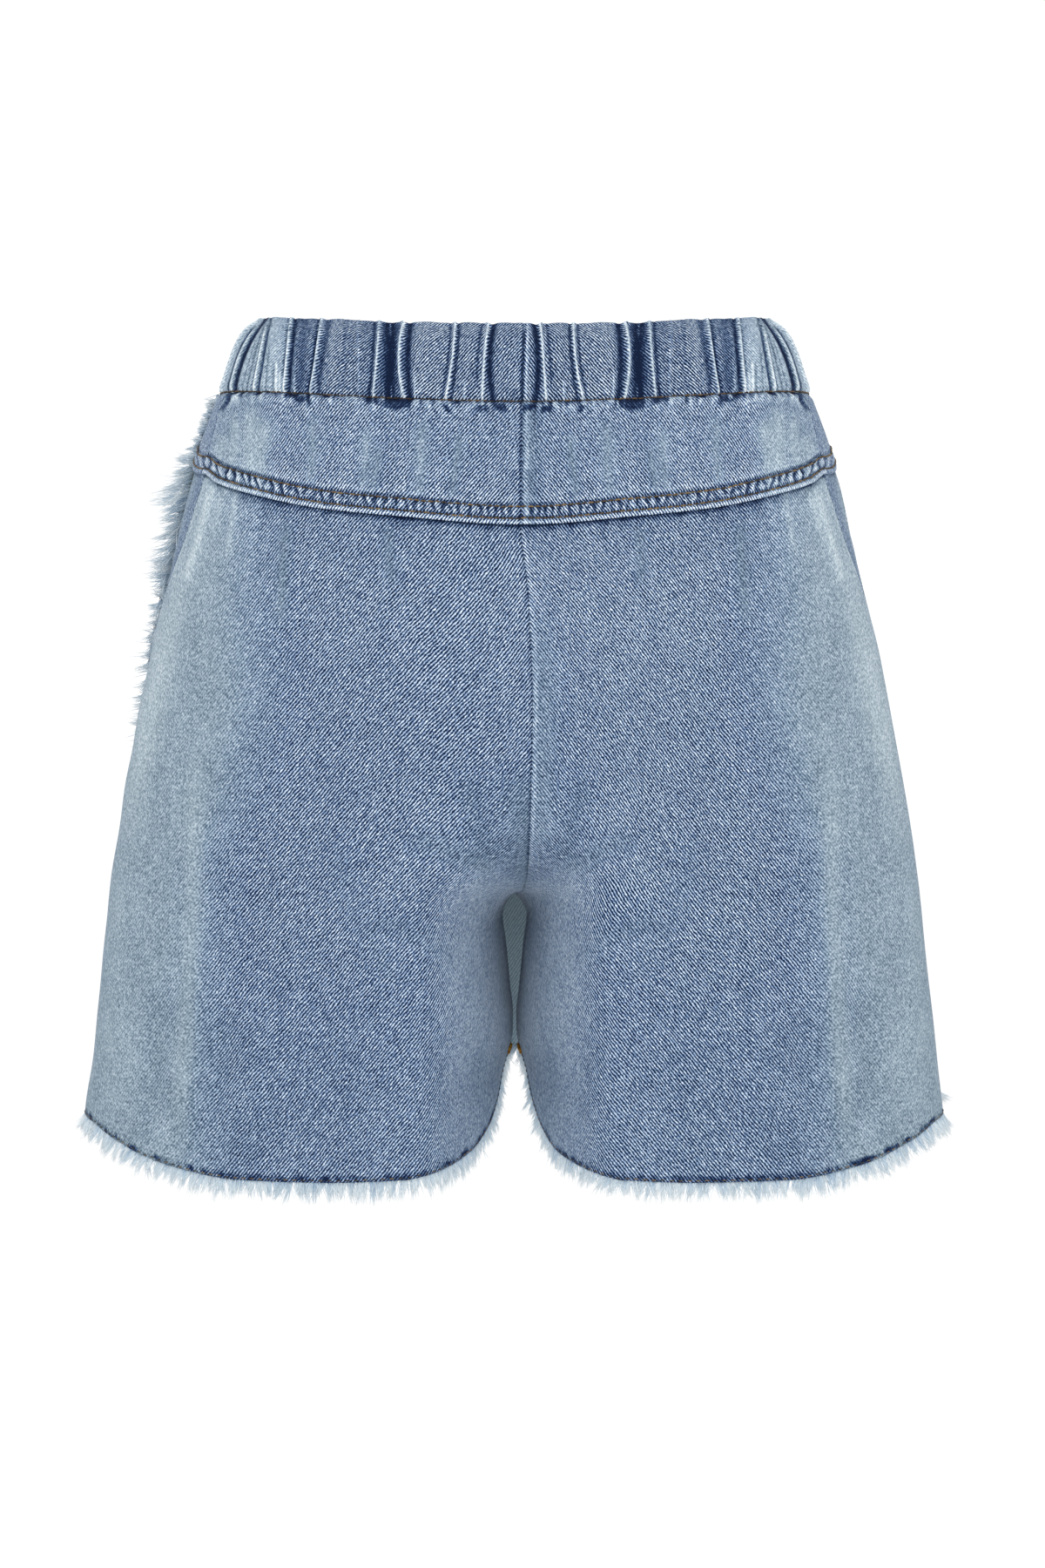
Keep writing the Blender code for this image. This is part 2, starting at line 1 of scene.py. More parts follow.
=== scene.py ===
"""Looks of the denim skort: washed twill shells, gathered waistband, topstitching and frayed edges.

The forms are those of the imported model, on finer grids, with creases and puckers laid on them.
Sizes are millimetres unless stated otherwise, and meshes are made in metres.  A tone runs from 0,
unfaded, to about 1, worn white; grain is the strength of the twill's lines.  Yokes and panels are
laid out for the wearer's left, and mirrored for the right.
"""
import math
from collections import namedtuple

import bpy
import numpy as np
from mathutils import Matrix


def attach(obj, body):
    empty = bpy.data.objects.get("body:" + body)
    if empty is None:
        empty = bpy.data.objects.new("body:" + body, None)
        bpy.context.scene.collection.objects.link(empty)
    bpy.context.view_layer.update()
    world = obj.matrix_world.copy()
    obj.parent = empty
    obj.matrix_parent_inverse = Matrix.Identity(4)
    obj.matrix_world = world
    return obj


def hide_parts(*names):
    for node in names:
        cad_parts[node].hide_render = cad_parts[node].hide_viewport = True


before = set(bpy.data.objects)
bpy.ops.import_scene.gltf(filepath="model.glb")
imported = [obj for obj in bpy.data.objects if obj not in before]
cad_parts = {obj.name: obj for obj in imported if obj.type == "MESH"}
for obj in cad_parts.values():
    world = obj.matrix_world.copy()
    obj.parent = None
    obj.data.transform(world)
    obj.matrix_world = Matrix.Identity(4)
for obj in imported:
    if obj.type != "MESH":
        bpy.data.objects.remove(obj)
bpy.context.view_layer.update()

METRE = 0.001                   # one millimetre in metres
HALVES = ("back_left", "back_right", "front_left", "front_right")


def named_rows(fields, *rows):
    """A table of numbers with named columns."""
    row_type = namedtuple("Row", fields)
    return tuple(row_type(*row) for row in rows)


# ---------------- the garment's own sizes
DENIM = 1.2                     # thickness of the cloth
SEAM_GAP = 0.3                  # clearance where one cloth lies on another
SEAM_TOUCH = 0.02               # sewn edges meet this close to the centre line
YOKE_LIFT = DENIM + SEAM_GAP
YOKE_LAP = 8.4                  # how far a leg panel reaches up under the yoke
YOKE_MIDDLE = -60.0             # height at which the yoke's edge is read off the section
YOKE_TUCKED = 0.6               # how far a yoke reaches up under the waistband
SQUARENESS = 2.3                # power of the sections' superellipses

BAND_TOP = 20.8
BAND_BOTTOM = -16.5
BAND_DIP = 9.0                  # how far the waist dips from its sides to centre back and front
BAND_WALL = 2.2                 # the casing with its elastic

CROTCH = -255.5
TUCK_START = -178.0             # where the seat begins to turn in between the legs
TUCK_POWER = 3.0
CORNER = 50.0                   # reach of a leg's rounded inner corner across the body
CORNER_POWER = 2.1
SPLAY = 20.0                    # rounds the corner off further
INNER = 0.45                    # share of a panel's width that lies inside CORNER

FRINGE_ROOT = 2.5               # added to the lengths of the fringes below
HEM_FRINGE = 8.5
FLAP_FRINGE = 15.0

FLAP_LIFT = 3.5                 # the flap lies this far off the body
FLAP_DROP = 335.0
FLAP_ROUND = 2.35               # power of the curve round its lower corner
FLAP_SEWN = 2.90                # turns of the flap's sewn and free sides
FLAP_FREE = 0.985
FLAP_SETTLE = 1.3               # the free side lies this much closer once it is past the yoke
FLAP_SETTLED = -53.0            # height where that begins
FLAP_END = 0.998                # share of the way to the free side at which the cloth ends
FLAP_LOFT = 3.0                 # how much more the flap's threads fan out than the hems'
FLAP_DEPTH = 2.8                # its threads fill the gap between its edge and the leg

SECTIONS = named_rows(
    "height half_width back front",
    (20.8, 122.9, 80, 76), (14, 129.3, 86, 81), (7, 133.2, 89, 84), (-9, 138.7, 92.5, 87.5),
    (-17, 141.5, 94.5, 89.5), (-35, 148.3, 100, 95), (-48, 152.5, 104, 99), (-61, 156.6, 108, 102),
    (-86, 162.1, 114, 106.5), (-136, 174.2, 122, 111), (-187, 184.1, 124, 112),
    (-237, 192.4, 122.5, 112.5), (-287, 198.2, 121, 114), (-338, 203.3, 120, 116.5),
    (-361, 206.2, 119.5, 117.5), (-392, 209, 119, 119),
)

# A turn counts the quarters round the body: 0 is centre back, 1 the wearer's left, 2 centre front.
SIDE_SEAM = named_rows(
    "height turn",
    (-17, 0.83), (-56, 0.8), (-86, 0.84), (-104, 0.89), (-130, 0.96), (-150, 1), (-400, 1),
)

CENTRE_DRIFT = named_rows(
    "height shift",
    (21, 4.6), (-20, 3.6), (-83, 3), (-115, 6.4), (-165, 8.4), (-205, 7.8), (-245, 6.2),
    (-262, 1.5), (-272, 0), (-400, 0),
)
DRIFT_REACH = 55.0

YOKE_EDGE = named_rows(
    "turn back front",
    (0, -83.5, -45), (0.28, -78.8, -44), (0.42, -75.2, -43.5), (0.6, -67.5, -43.5),
    (0.72, -61.5, -44), (0.8, -56.5, -45), (1, -56.5, -49.5), (1.2, -56.5, -56.5),
)

HEM = named_rows(
    "across back front",
    (0, -331.5, -331.5), (0.03, -338, -337), (0.07, -352, -349), (0.13, -366, -361),
    (0.2, -375.5, -369.5), (0.32, -382.7, -376), (0.45, -387, -380), (0.54, -388.6, -381.5),
    (0.64, -388, -381.5), (0.73, -382.5, -377.5), (0.82, -372.5, -370), (0.91, -363.5, -363.5),
    (1, -361, -361),
)

LEG_GAP = named_rows(
    "height half_gap",
    (-255.5, 0.2), (-259, 3), (-266, 5.8), (-279, 4.2), (-300, 2.2), (-313, 0.8), (-322, 0.9),
    (-331, 2.4), (-342, 4), (-392, 5),
)

# ---------------- folds, creases and wear
# Folds of the waistband in one quarter, by distance from the centre at its top, middle and
# bottom.  A ridge rises and is worn pale; a valley falls and keeps its dye.  start and end
# are the shares of the band's height, from the top, between which the fold shows.
FOLDS = named_rows(
    "top middle bottom width rise tone start end",
    (12, 13.9, 14.9, 0.7, 1.27, 0.48, 0, 1), (22.2, 22.6, 23.3, 0.59, 0.42, 0.32, 0.72, 1),
    (27.6, 28.9, 32.4, 0.63, 1.27, 0.48, 0, 1), (46.5, 46.4, 46.2, 0.52, 0.42, 0.34, 0.65, 1),
    (51.6, 53.8, 51.2, 0.78, 1.44, 0.48, 0, 1), (58.3, 58.3, 58, 0.44, 0.26, 0.4, 0, 0.22),
    (57.5, 57.6, 57.7, 0.41, 0.34, 0.4, 0.8, 1), (60.6, 60.9, 61.2, 0.41, 0.34, 0.4, 0.86, 1),
    (63.2, 64.2, 66, 0.63, 1.19, 0.48, 0, 1), (73.4, 72.8, 72.6, 0.67, 0.51, 0.21, 0, 1),
    (90.7, 92.8, 95.8, 0.7, 1.19, 0.44, 0, 1), (92.6, 92.9, 93.2, 0.5, 0.3, 0.25, 0.78, 1),
    (102.5, 102.9, 103.4, 0.44, 0.34, 0.29, 0.7, 1), (105.3, 106.7, 108.4, 0.52, 1.1, 0.39, 0, 1),
    (9.4, 11.3, 9.6, 1.5, -1.2, -0.42, 0, 1), (15.1, 16.9, 17.6, 0.6, -0.5, -0.25, 0, 0.8),
    (25.9, 27.1, 29.8, 0.9, -0.8, -0.3, 0, 1), (29.8, 30.9, 34.4, 0.7, -0.6, -0.26, 0, 1),
    (48.7, 49.9, 48.6, 1.6, -1.2, -0.4, 0, 1), (58.2, 58.2, 58.6, 3.3, -1.3, -0.44, 0, 1),
    (65.6, 66.4, 68.2, 0.7, -0.6, -0.3, 0, 1), (80, 79, 81, 0.7, -0.4, -0.1, 0, 1),
    (87.3, 90.2, 92.6, 1.6, -0.8, -0.22, 0, 1), (92.2, 94.2, 97.2, 0.7, -0.7, -0.32, 0, 1),
    (99, 100, 101, 2.4, -0.5, -0.14, 0, 1), (103.7, 105.2, 106.4, 1.25, -1.1, -0.42, 0, 1),
    (106.8, 108.2, 109.8, 0.5, -0.5, -0.26, 0, 0.8), (115.5, 118, 121, 1, -0.8, -0.42, 0, 1),
    (118.6, 127.8, 132.5, 1.3, -1.2, -0.55, 0, 1), (120.4, 131, 136.2, 0.6, -0.5, -0.44, 0.1, 1),
    (121.6, 133.2, 138.2, 0.6, -0.4, -0.42, 0.2, 1),
    (111.6, 112.8, 113.6, 0.45, -0.3, -0.26, 0.6, 1), (111.2, 111.6, 112, 0.45, 0.3, 0.26, 0.6, 1),
    (109, 109.8, 110.4, 0.4, 0.3, 0.24, 0.7, 1), (114, 115.4, 117, 0.45, -0.3, -0.24, 0.4, 1),
    (117.4, 122.6, 127, 0.5, -0.4, -0.3, 0, 1), (116.9, 120.8, 124.4, 0.4, -0.3, -0.26, 0, 1),
    (116.6, 119.8, 123.2, 0.52, 0.51, 0.22, 0, 1), (118.4, 124.4, 129, 0.4, -0.3, -0.2, 0.3, 1),
    (119.6, 129.4, 134.2, 0.5, 0.42, 0.27, 0, 1),
)
BAND_PUFF = 0.9                 # how far the casing stands out between its folds
BAND_COVER = 1.3                # how much of a yoke's top the casing hides
BULGE = 0.8                     # extra swell in the middle of each wide flat stretch
BULGES = (4.0, 21.0, 40.3, 81.0, 113.0, 127.0)
BULGE_WIDTH = 4.5
SIDE_START = 0.88               # share of a quarter where the folds seen from behind end
SIDE_FOLDS = (0.905, 0.922, 0.944, 0.958, 0.974, 0.994)
SIDE_RISE = (1.2, -1.1, 0.8, 1.3, -1.2)
SIDE_TONE = 0.14                # tone of a side fold, to a millimetre of its rise
QUARTER_ARC = 176.0             # the waistband's arc from centre back to side
BAND_GRAIN = 1.25               # the band's cloth is less worn, so its twill is crisper

# Ground tone and strength of the twill across the waistband, by distance from the centre.
BAND_ZONES = named_rows(
    "at tone grain",
    (0, 0.375, 0.9), (18, 0.335, 1), (26, 0.335, 1), (36, 0.395, 1), (45, 0.395, 1),
    (54, 0.335, 0.8), (66, 0.25, 0.9), (74, 0.25, 1), (84, 0.405, 1), (92, 0.335, 0.8),
    (101, 0.315, 0.8), (107, 0.63, 0.5), (112, 0.75, 0.28), (140, 0.75, 0.28),
)

# Tucks just under the waistband's seam, by distance from the centre and from the seam down.
TUCKS = named_rows(
    "at start end width lean tone",
    (134.5, 0, 11.5, 1.2, 0.5, -0.46), (131.8, 1, 10, 1, 0.46, 0.2), (122, 0, 3, 1, 0.2, -0.34),
    (119.5, 0, 4.2, 0.7, 0.2, 0.24), (104.5, 0, 3.6, 1.9, 0, -0.46),
    (102.2, 0.6, 3.4, 1, -0.3, 0.26), (100.4, 2.4, 5.2, 2.4, 0, -0.34), (96.8, 0, 8, 0.9, 0, -0.36),
    (94.6, 0.4, 3.6, 1.1, 0.1, 0.24), (89, 0, 2.2, 1.5, 0, -0.36), (77, 0.2, 2.4, 4, 0, 0.22),
    (67, 0, 4.6, 2.6, 0.2, -0.36), (62.2, 0.2, 3.8, 0.8, -0.4, 0.26),
    (58.5, 0, 6.4, 2.8, 0.1, -0.44), (54, 0, 7.6, 3, 0, -0.4), (49.6, 0, 5.4, 2, 0.3, -0.34),
    (45.8, 0, 3.4, 2.2, 0.6, 0.3), (36, 0.2, 2.6, 3.2, 0, 0.16), (32.1, 3.2, 7, 1.6, -0.2, -0.24),
    (27, 0, 3, 1, 0, -0.28), (19.5, 0.4, 5, 1, -0.5, 0.24), (15.5, 3, 6.6, 3, 0, -0.3),
    (7.6, 2.2, 6.2, 2.4, -0.5, -0.42), (4.4, 0.4, 12, 0.9, -0.35, 0.22),
)

# Pale streaks of the back yoke where it rubs, by distance from the centre.
YOKE_STREAKS = named_rows(
    "at start width tone",
    (137.5, 18, 3.2, 0.1), (131, 8, 1.8, 0.09), (123.5, 5, 2.2, 0.12), (117.5, 10, 3, 0.1),
    (93, 6, 2, 0.1), (67.5, 12, 2.3, 0.08), (62, 20, 1.4, 0.05), (41.5, 6, 2.6, 0.1),
    (25, 12, 1.6, 0.05),
)

# Creases of a back half, by distance from the centre and height.  bow bends the crease
# outwards, tone lightens it and calm takes the twill's contrast away.
CREASE_FIELDS = "x_top z_top x_low z_low bow width height tone calm"
BACK_CREASES = named_rows(
    CREASE_FIELDS,
    (105, -74, 108, -134, 0, 3.6, 0.8, 0.05, 0.6), (59, -80, 58, -114, 0, 3.2, 0.5, 0.03, 0.5),
    (140, -57, 156, -112, 0, 2.2, 0.8, 0.14, 0.5), (135, -57, 144, -92, 0.3, 1.5, 0.5, 0.1, 0.4),
    (128, -59, 133, -100, 0.3, 1.6, 0.6, 0.12, 0.5), (118, -70, 121, -112, 0, 3, -0.5, -0.03, 0),
    (148, -178, 157, -386, -3, 5, 1.3, 0.07, 0.7), (165, -292, 171, -378, 0, 6, -1.6, -0.05, -1.2),
    (188, -240, 190, -366, 0, 6, 1.2, 0.04, 0.2), (118, -300, 122, -388, 0, 10, 1.3, 0.02, 0.1),
    (136, -300, 139, -388, 0, 7, -1.2, -0.01, 0), (84, -310, 82, -390, 0, 11, -1.2, -0.02, 0),
    (56, -228, 14, -250, -3, 6, 0.7, 0.03, 0.4), (83, -222, 45, -304, 7, 6, 1.2, 0.03, 0.2),
    (70, -262, 24, -290, -3, 6, 1.2, 0.02, 0.3), (46, -286, 28, -346, 3, 7, -1, -0.02, 0),
    (30, -196, 12, -252, 1, 6, -0.8, -0.02, 0.3), (90, -150, 70, -215, 4, 16, -1, -0.01, 0),
    (44, -110, 48, -190, 2, 18, 0.9, 0.01, 0),
)
FRONT_CREASES = named_rows(
    CREASE_FIELDS,
    (100, -62, 108, -130, 0, 3.6, 0.8, 0.05, 0.6), (62, -56, 58, -104, 0, 3.2, 0.5, 0.03, 0.5),
    (130, -60, 141, -112, 0.5, 2.4, 0.6, 0.09, 0.4), (150, -190, 156, -376, -3, 5, 1.3, 0.07, 0.7),
    (168, -290, 172, -372, 0, 6, -1.5, -0.05, -0.8), (112, -290, 118, -380, 0, 10, 1.3, 0.02, 0.1),
    (80, -300, 82, -384, 0, 11, -1.2, -0.02, 0), (58, -226, 14, -250, -3, 6, 0.7, 0.03, 0.4),
    (84, -262, 30, -292, -3, 7, 1.2, 0.02, 0.3),
)

# Creases of the flap, by position across the body (wearer's left positive) and height.  The tones
# of its long drape folds are painted light and shade: lighter on the ridges, darker in the troughs.
FLAP_CREASES = named_rows(
    CREASE_FIELDS,
    (96, -26, 104, -96, 0, 4, 0.9, 0.05, 0.5), (58, -28, 60, -80, 0, 3.6, 0.7, 0.03, 0.5),
    (22, -30, 26, -88, 0, 4, 0.7, 0.03, 0.4), (-24, -30, -28, -92, 0, 4, 0.7, 0.03, 0.4),
    (-62, -28, -70, -84, 0, 3.6, 0.8, 0.04, 0.5), (-104, -26, -116, -104, 0, 4, 0.9, 0.06, 0.5),
    (130, -40, 20, -190, -14, 9, 3, 0.035, 0.3), (146, -80, 10, -236, -16, 10, -1.8, -0.035, 0),
    (158, -140, -20, -280, -14, 10, 3, 0.035, 0.3),
    (150, -196, -50, -316, -12, 11, -1.8, -0.035, 0), (-80, -120, -96, -330, 4, 12, 2.6, 0.03, 0.2),
    (-124, -140, -140, -336, 3, 9, -1.8, -0.03, 0), (-152, -150, -160, -340, 2, 6, 1.3, 0.06, 0.6),
)

# Where the worn, smooth side of a panel begins, by height.
SIDE_FADE = named_rows(
    "height at",
    (-20, 104), (-60, 122), (-160, 121), (-205, 128), (-245, 141), (-400, 147),
)
SIDE_FADE_WIDTH = 52.0

# Ground tones of the cloths, what the worn sides add, and the share of the twill they lose there.
YOKE_TONE, YOKE_WEAR, YOKE_LOSS = 0.47, 0.13, 0.62
PANEL_TONE, PANEL_WEAR, PANEL_LOSS = 0.445, 0.19, 0.84
FLAP_TONE, FLAP_WEAR, FLAP_LOSS = 0.48, 0.16, 0.8
YOKE_GRAIN = 1.08
# Tone and grain of the less worn cloth of a front yoke and a front panel beside the side seam.
FRESH_YOKE = (0.52, 0.8)
FRESH_PANEL = (0.50, 0.7)
FRESH_WIDTH = 20.0
SEAM_LINE = 0.9                 # half width of the dark line of a seam
FOLD_SHOWN = 0.42               # most tone that folds and tucks add to a yoke, and to the flap
FLAP_SHOWN = 0.28

# Stitching
STITCH_PITCH = 3.3              # from one stitch to the next
STITCH_LENGTH = 2.95            # thread that shows of each
THREAD = 0.46                   # radius of the sewing thread
BAND_ROW = 0.45                 # share of the lowest mesh row at which the waistband is topstitched
YOKE_ROW_LOW = 3.0              # lower row above the yoke's edge
YOKE_ROW_HIGH = 9.0             # upper row
HEM_ROW = 0.9                   # the row of stitches above a hem's frayed edge
HEM_THREAD = 0.26
HEM_PITCH = 4.2
HEM_LENGTH = 2.2
FLAP_ROW = 2.4                  # the row above the flap's
TACK_LEVELS = (1.2, 2.0, 2.8)   # bar tacks above the foot of the inseam
TACK_COLUMNS = 5                # columns of the panel's mesh that a bar tack spans
TACK_SIZE = 0.75
TACK_PITCH = 1.6

# Frayed edges
TUFT_PITCH = 2.1                # spacing of the tufts along an edge
TUFT_FIBRES = 19
TUFT_SPREAD = 1.5               # half width of a tuft's root
LOOSE_FIBRES = 1.6              # single threads between the tufts, per millimetre
FIBRE_ROOT = 0.27               # radius of a fibre where it leaves the cloth
FIBRE_TIP = 0.07

# The photograph's frame, 1200 x 1800 pixels, and the studio
MM_PER_PIXEL = 0.42             # at the depth of the side seams
FRAME_HEIGHT = 1800
CENTRE_LINE = 591               # pixel column of the garment's own centre line
FRAME_CENTRE = 600
TOP_LINE = 368                  # pixel row of a point 20 mm above the origin
TOP_HEIGHT = 20.0
CAMERA_DISTANCE = 3000.0
SENSOR = 36.0
FLOOR = -760.0
FLOOR_REACH = 60000.0


# ---------------- small helpers
def mix(a, b, share):
    return a + (b - a) * share


def ease(value):
    """Smooth step from 0 to 1."""
    value = np.clip(value, 0.0, 1.0)
    return value * value * (3.0 - 2.0 * value)


def slope(value, start, reach):
    """0 at start and 1 one reach further on; a negative reach looks towards smaller values."""
    return ease((value - start) / reach)


def bell(distance, width):
    """1 at no distance, falling off to either side."""
    return np.exp(-(distance / width)**2)


def fading(distance, width):
    """1 at no distance, and less and less further on."""
    return np.exp(-distance / width)


def unit(vectors):
    length = np.linalg.norm(vectors, axis=-1, keepdims=True)
    return vectors / np.maximum(length, 1e-9)


def straight(table, column):
    """Straight course of a table's column, as a function of its first column."""
    places = [row[0] for row in table]
    return lambda place: np.interp(place, places, [getattr(row, column) for row in table])


def curve(table, column):
    """Smooth curve through a table's column, as a function of its first column."""
    rows = sorted(table, key=lambda row: row[0])
    keys = np.array([row[0] for row in rows])
    values = np.array([getattr(row, column) for row in rows])
    rise = np.diff(values) / np.diff(keys)
    slopes = np.zeros(len(keys))
    for k in range(1, len(keys) - 1):
        if rise[k - 1] * rise[k] > 0.0:
            slopes[k] = 2.0 * rise[k - 1] * rise[k] / (rise[k - 1] + rise[k])

    def at(key):
        key = np.clip(np.asarray(key, float), keys[0], keys[-1])
        i = np.clip(np.searchsorted(keys, key, side="right") - 1, 0, len(keys) - 2)
        span = keys[i + 1] - keys[i]
        s = (key - keys[i]) / span
        start = (2 * s**3 - 3 * s**2 + 1) * values[i] + (s**3 - 2 * s**2 + s) * span * slopes[i]
        return start + (3 * s**2 - 2 * s**3) * values[i + 1] + (s**3 - s**2) * span * slopes[i + 1]

    return at


RIPPLE_LENGTHS = (34.0, 47.0, 60.0, 73.0, 86.0)


def ripple(u, v, seed):
    """Soft irregular swell between about -1 and 1, a few centimetres long."""
    total = 0.0
    for k, length in enumerate(RIPPLE_LENGTHS):
        turn = 2.4 * k + seed
        way = u * math.cos(turn) + v * math.sin(turn)
        total = total + np.sin(way * 2 * math.pi / length + 1.7 * k + seed)
    return total / 3.0


# ---------------- the body's form
half_width = curve(SECTIONS, "half_width")
depth_back = curve(SECTIONS, "back")
depth_front = curve(SECTIONS, "front")
side_turn = curve(SIDE_SEAM, "turn")
seam_drift = curve(CENTRE_DRIFT, "shift")
leg_gap = curve(LEG_GAP, "half_gap")
side_fade = curve(SIDE_FADE, "at")
band_tone = straight(BAND_ZONES, "tone")
band_grain = straight(BAND_ZONES, "grain")


def quarter_angles(steps=240, wide=170.0, deep=115.0):
    """Angles at even steps of arc length along a quarter of the section, centre to side."""
    power = 2.0 / SQUARENESS
    angles = math.pi / 2 * (1 - np.arange(steps + 1) / steps)
    across = wide * np.maximum(0.0, np.cos(angles))**power
    along = deep * np.maximum(0.0, np.sin(angles))**power
    lengths = np.concatenate([[0.0], np.cumsum(np.hypot(np.diff(across), np.diff(along)))])
    return angles, lengths / lengths[-1]


ANGLES, SHARES = quarter_angles()


def angle_at(share):
    return np.interp(share, SHARES, ANGLES)


def share_at(angle):
    return np.interp(-angle, -ANGLES, SHARES)


def body(turn, z):
    """Points of the body's outer face."""
    turn, z = np.broadcast_arrays(np.mod(turn, 4.0), np.asarray(z, float))
    share = np.select([turn < 1, turn < 2, turn < 3], [turn, 2 - turn, turn - 2], 4 - turn)
    angle = angle_at(share)
    power = 2.0 / SQUARENESS
    front = (turn > 1) & (turn < 3)
    x = half_width(z) * np.maximum(0.0, np.cos(angle))**power
    y = np.where(front, depth_front(z), depth_back(z)) * np.maximum(0.0, np.sin(angle))**power
    return np.stack([np.where(turn <= 2, x, -x), np.where(front, -y, y), z], axis=-1)


def body_normal(turn, z):
    around = body(turn + 2e-3, z) - body(turn - 2e-3, z)
    up = body(turn, z + 2.0) - body(turn, z - 2.0)
    return unit(np.cross(up, around))


def drifted(points):
    """Moves points of the back with the centre back seam's sideways drift."""
    points = points.copy()
    near = bell(points[..., 0], DRIFT_REACH) * ease(points[..., 1] / 50.0)
    points[..., 0] -= seam_drift(points[..., 2]) * near
    return points


def band_level(turn):
    """How much lower the waistband sits here than at the sides."""
    return BAND_DIP * (1.0 - np.cos(math.pi * (turn - 1.0))) / 2.0


def panel_share(across, z, front):
    """Share of a quarter for a position across a panel, 0 at its centre seam and 1 at its side."""
    corner = share_at(np.arccos((CORNER / half_width(z))**(SQUARENESS / 2)))
    seam = 2.0 - side_turn(z) if front else side_turn(z)
    outer = mix(corner, seam, (across - INNER) / (1.0 - INNER))
    return np.where(across <= INNER, corner * across / INNER, outer)


def panel_turn(across, z, front):
    share = panel_share(across, z, front)
    return 2.0 - share if front else share


def tuck(z):
    """How far the cloth has turned in between the legs, from 0 on the seat to 1 on the legs."""
    down = np.clip((TUCK_START - z) / (TUCK_START - CROTCH), 0.0, 1.0)
    return 1.0 - (1.0 - down**TUCK_POWER)**(1.0 / TUCK_POWER)


def leg_corner(across, z, front):
    """Points of the leg's inner wall and rounded corner, from the inseam out to CORNER."""
    gap = leg_gap(z)
    share = np.minimum(1.0, across / INNER)
    angle = math.pi / 2 * share
    power = 2.0 / CORNER_POWER
    x = gap + (CORNER - gap) * (1.0 - np.maximum(0.0, np.cos(angle))**power)
    x = x + SPLAY * share * (1.0 - share)
    deep = depth_front(z) if front else depth_back(z)
    y = deep * (1.0 - (x / half_width(z))**SQUARENESS)**(1.0 / SQUARENESS) * np.sin(angle)**power
    return np.stack([x, -y if front else y, z], axis=-1)


def leg_point(across, z, front):
    """Points of a left leg panel's outer face."""
    across, z = np.broadcast_arrays(np.asarray(across, float), z)
    point = body(panel_turn(across, z, front), z)
    amount = (tuck(z) * (across < INNER))[..., None]
    return mix(point, leg_corner(across, z, front), amount)


def yoke_edge(across, front):
    share = panel_share(across, YOKE_MIDDLE, front)
    return curve(YOKE_EDGE, "front" if front else "back")(share)


def hem_edge(across, front):
    return curve(HEM, "front" if front else "back")(across)


def flap_bottom(share):
    """How far the flap reaches down from its top, from its sewn side to its free one."""
    return FLAP_DROP * (1.0 - np.minimum(1.0, share)**FLAP_ROUND)**(1.0 / FLAP_ROUND)


def flap_base(share, level):
    """Points of the flap's outer face and its normals; level 0 is the top and 1 the free edge."""
    turn = mix(FLAP_SEWN, FLAP_FREE, share)
    z = BAND_BOTTOM - band_level(turn) - SEAM_GAP - flap_bottom(share) * level
    settle = FLAP_SETTLE * slope(share, 0.70, 0.25) * slope(z, FLAP_SETTLED, -8.0)
    normal = body_normal(turn, z)
    return body(turn, z) + normal * (FLAP_LIFT - settle)[..., None], normal


# ---------------- reading a grid
LEVEL = np.array([1.0, 1.0, 0.0])   # takes the upright part out of a vector


def grid_normals(points, toward):
    """Unit normals of a grid of points, on the same side as toward."""
    down = np.gradient(points, axis=0)
    across = np.gradient(points, axis=1)
    normals = unit(np.cross(down, across))
    sign = np.sign(np.sum(normals * toward, axis=-1, keepdims=True))
    return normals * np.where(sign == 0, 1.0, sign)


def arc_lengths(points, axis, origin=0):
    """Distance along the rows or columns of a grid, counted from the index origin."""
    steps = np.linalg.norm(np.diff(points, axis=axis), axis=-1)
    total = np.cumsum(steps, axis=axis)
    pad = np.zeros_like(np.take(total, [0], axis=axis))
    total = np.concatenate([pad, total], axis=axis)
    return total - np.take(total, [origin], axis=axis)


def row_above(points, normals, distance):
    """The line at this distance above a grid's lowest row, with its normals."""
    below = arc_lengths(points[::-1], 0)
    line, facing = (
        np.array([[np.interp(distance, below[:, c], grid[::-1, c, k]) for k in range(3)]
                  for c in range(points.shape[1])])
        for grid in (points, normals)
    )
    return line, unit(facing)


def along_line(places, lengths, data):
    """Vectors of data, given at lengths along a line, at other places along it."""
    return np.stack([np.interp(places, lengths, data[:, k]) for k in range(3)], axis=-1)


def resampled(line, normals, pitch):
    """Points about one pitch apart along a line, with normals and directions."""
    lengths = arc_lengths(line, 0)
    count = max(2, int(round(lengths[-1] / pitch)))
    at = np.linspace(0.0, lengths[-1], count + 1)
    points = along_line(at, lengths, line)
    return points, unit(along_line(at, lengths, normals)), unit(np.gradient(points, axis=0))


# ---------------- materials
class Signal:
    """A node's output; adding to it, multiplying it and so on makes a math node."""

    def __init__(self, nodes, socket):
        self.nodes = nodes
        self.socket = socket

    def __add__(self, other):
        return self.nodes.math("ADD", self, other)

    def __sub__(self, other):
        return self.nodes.math("SUBTRACT", self, other)

    def __rsub__(self, other):
        return self.nodes.math("SUBTRACT", other, self)

    def __mul__(self, other):
        return self.nodes.math("MULTIPLY", self, other)

    def __truediv__(self, other):
        return self.nodes.math("DIVIDE", self, other)


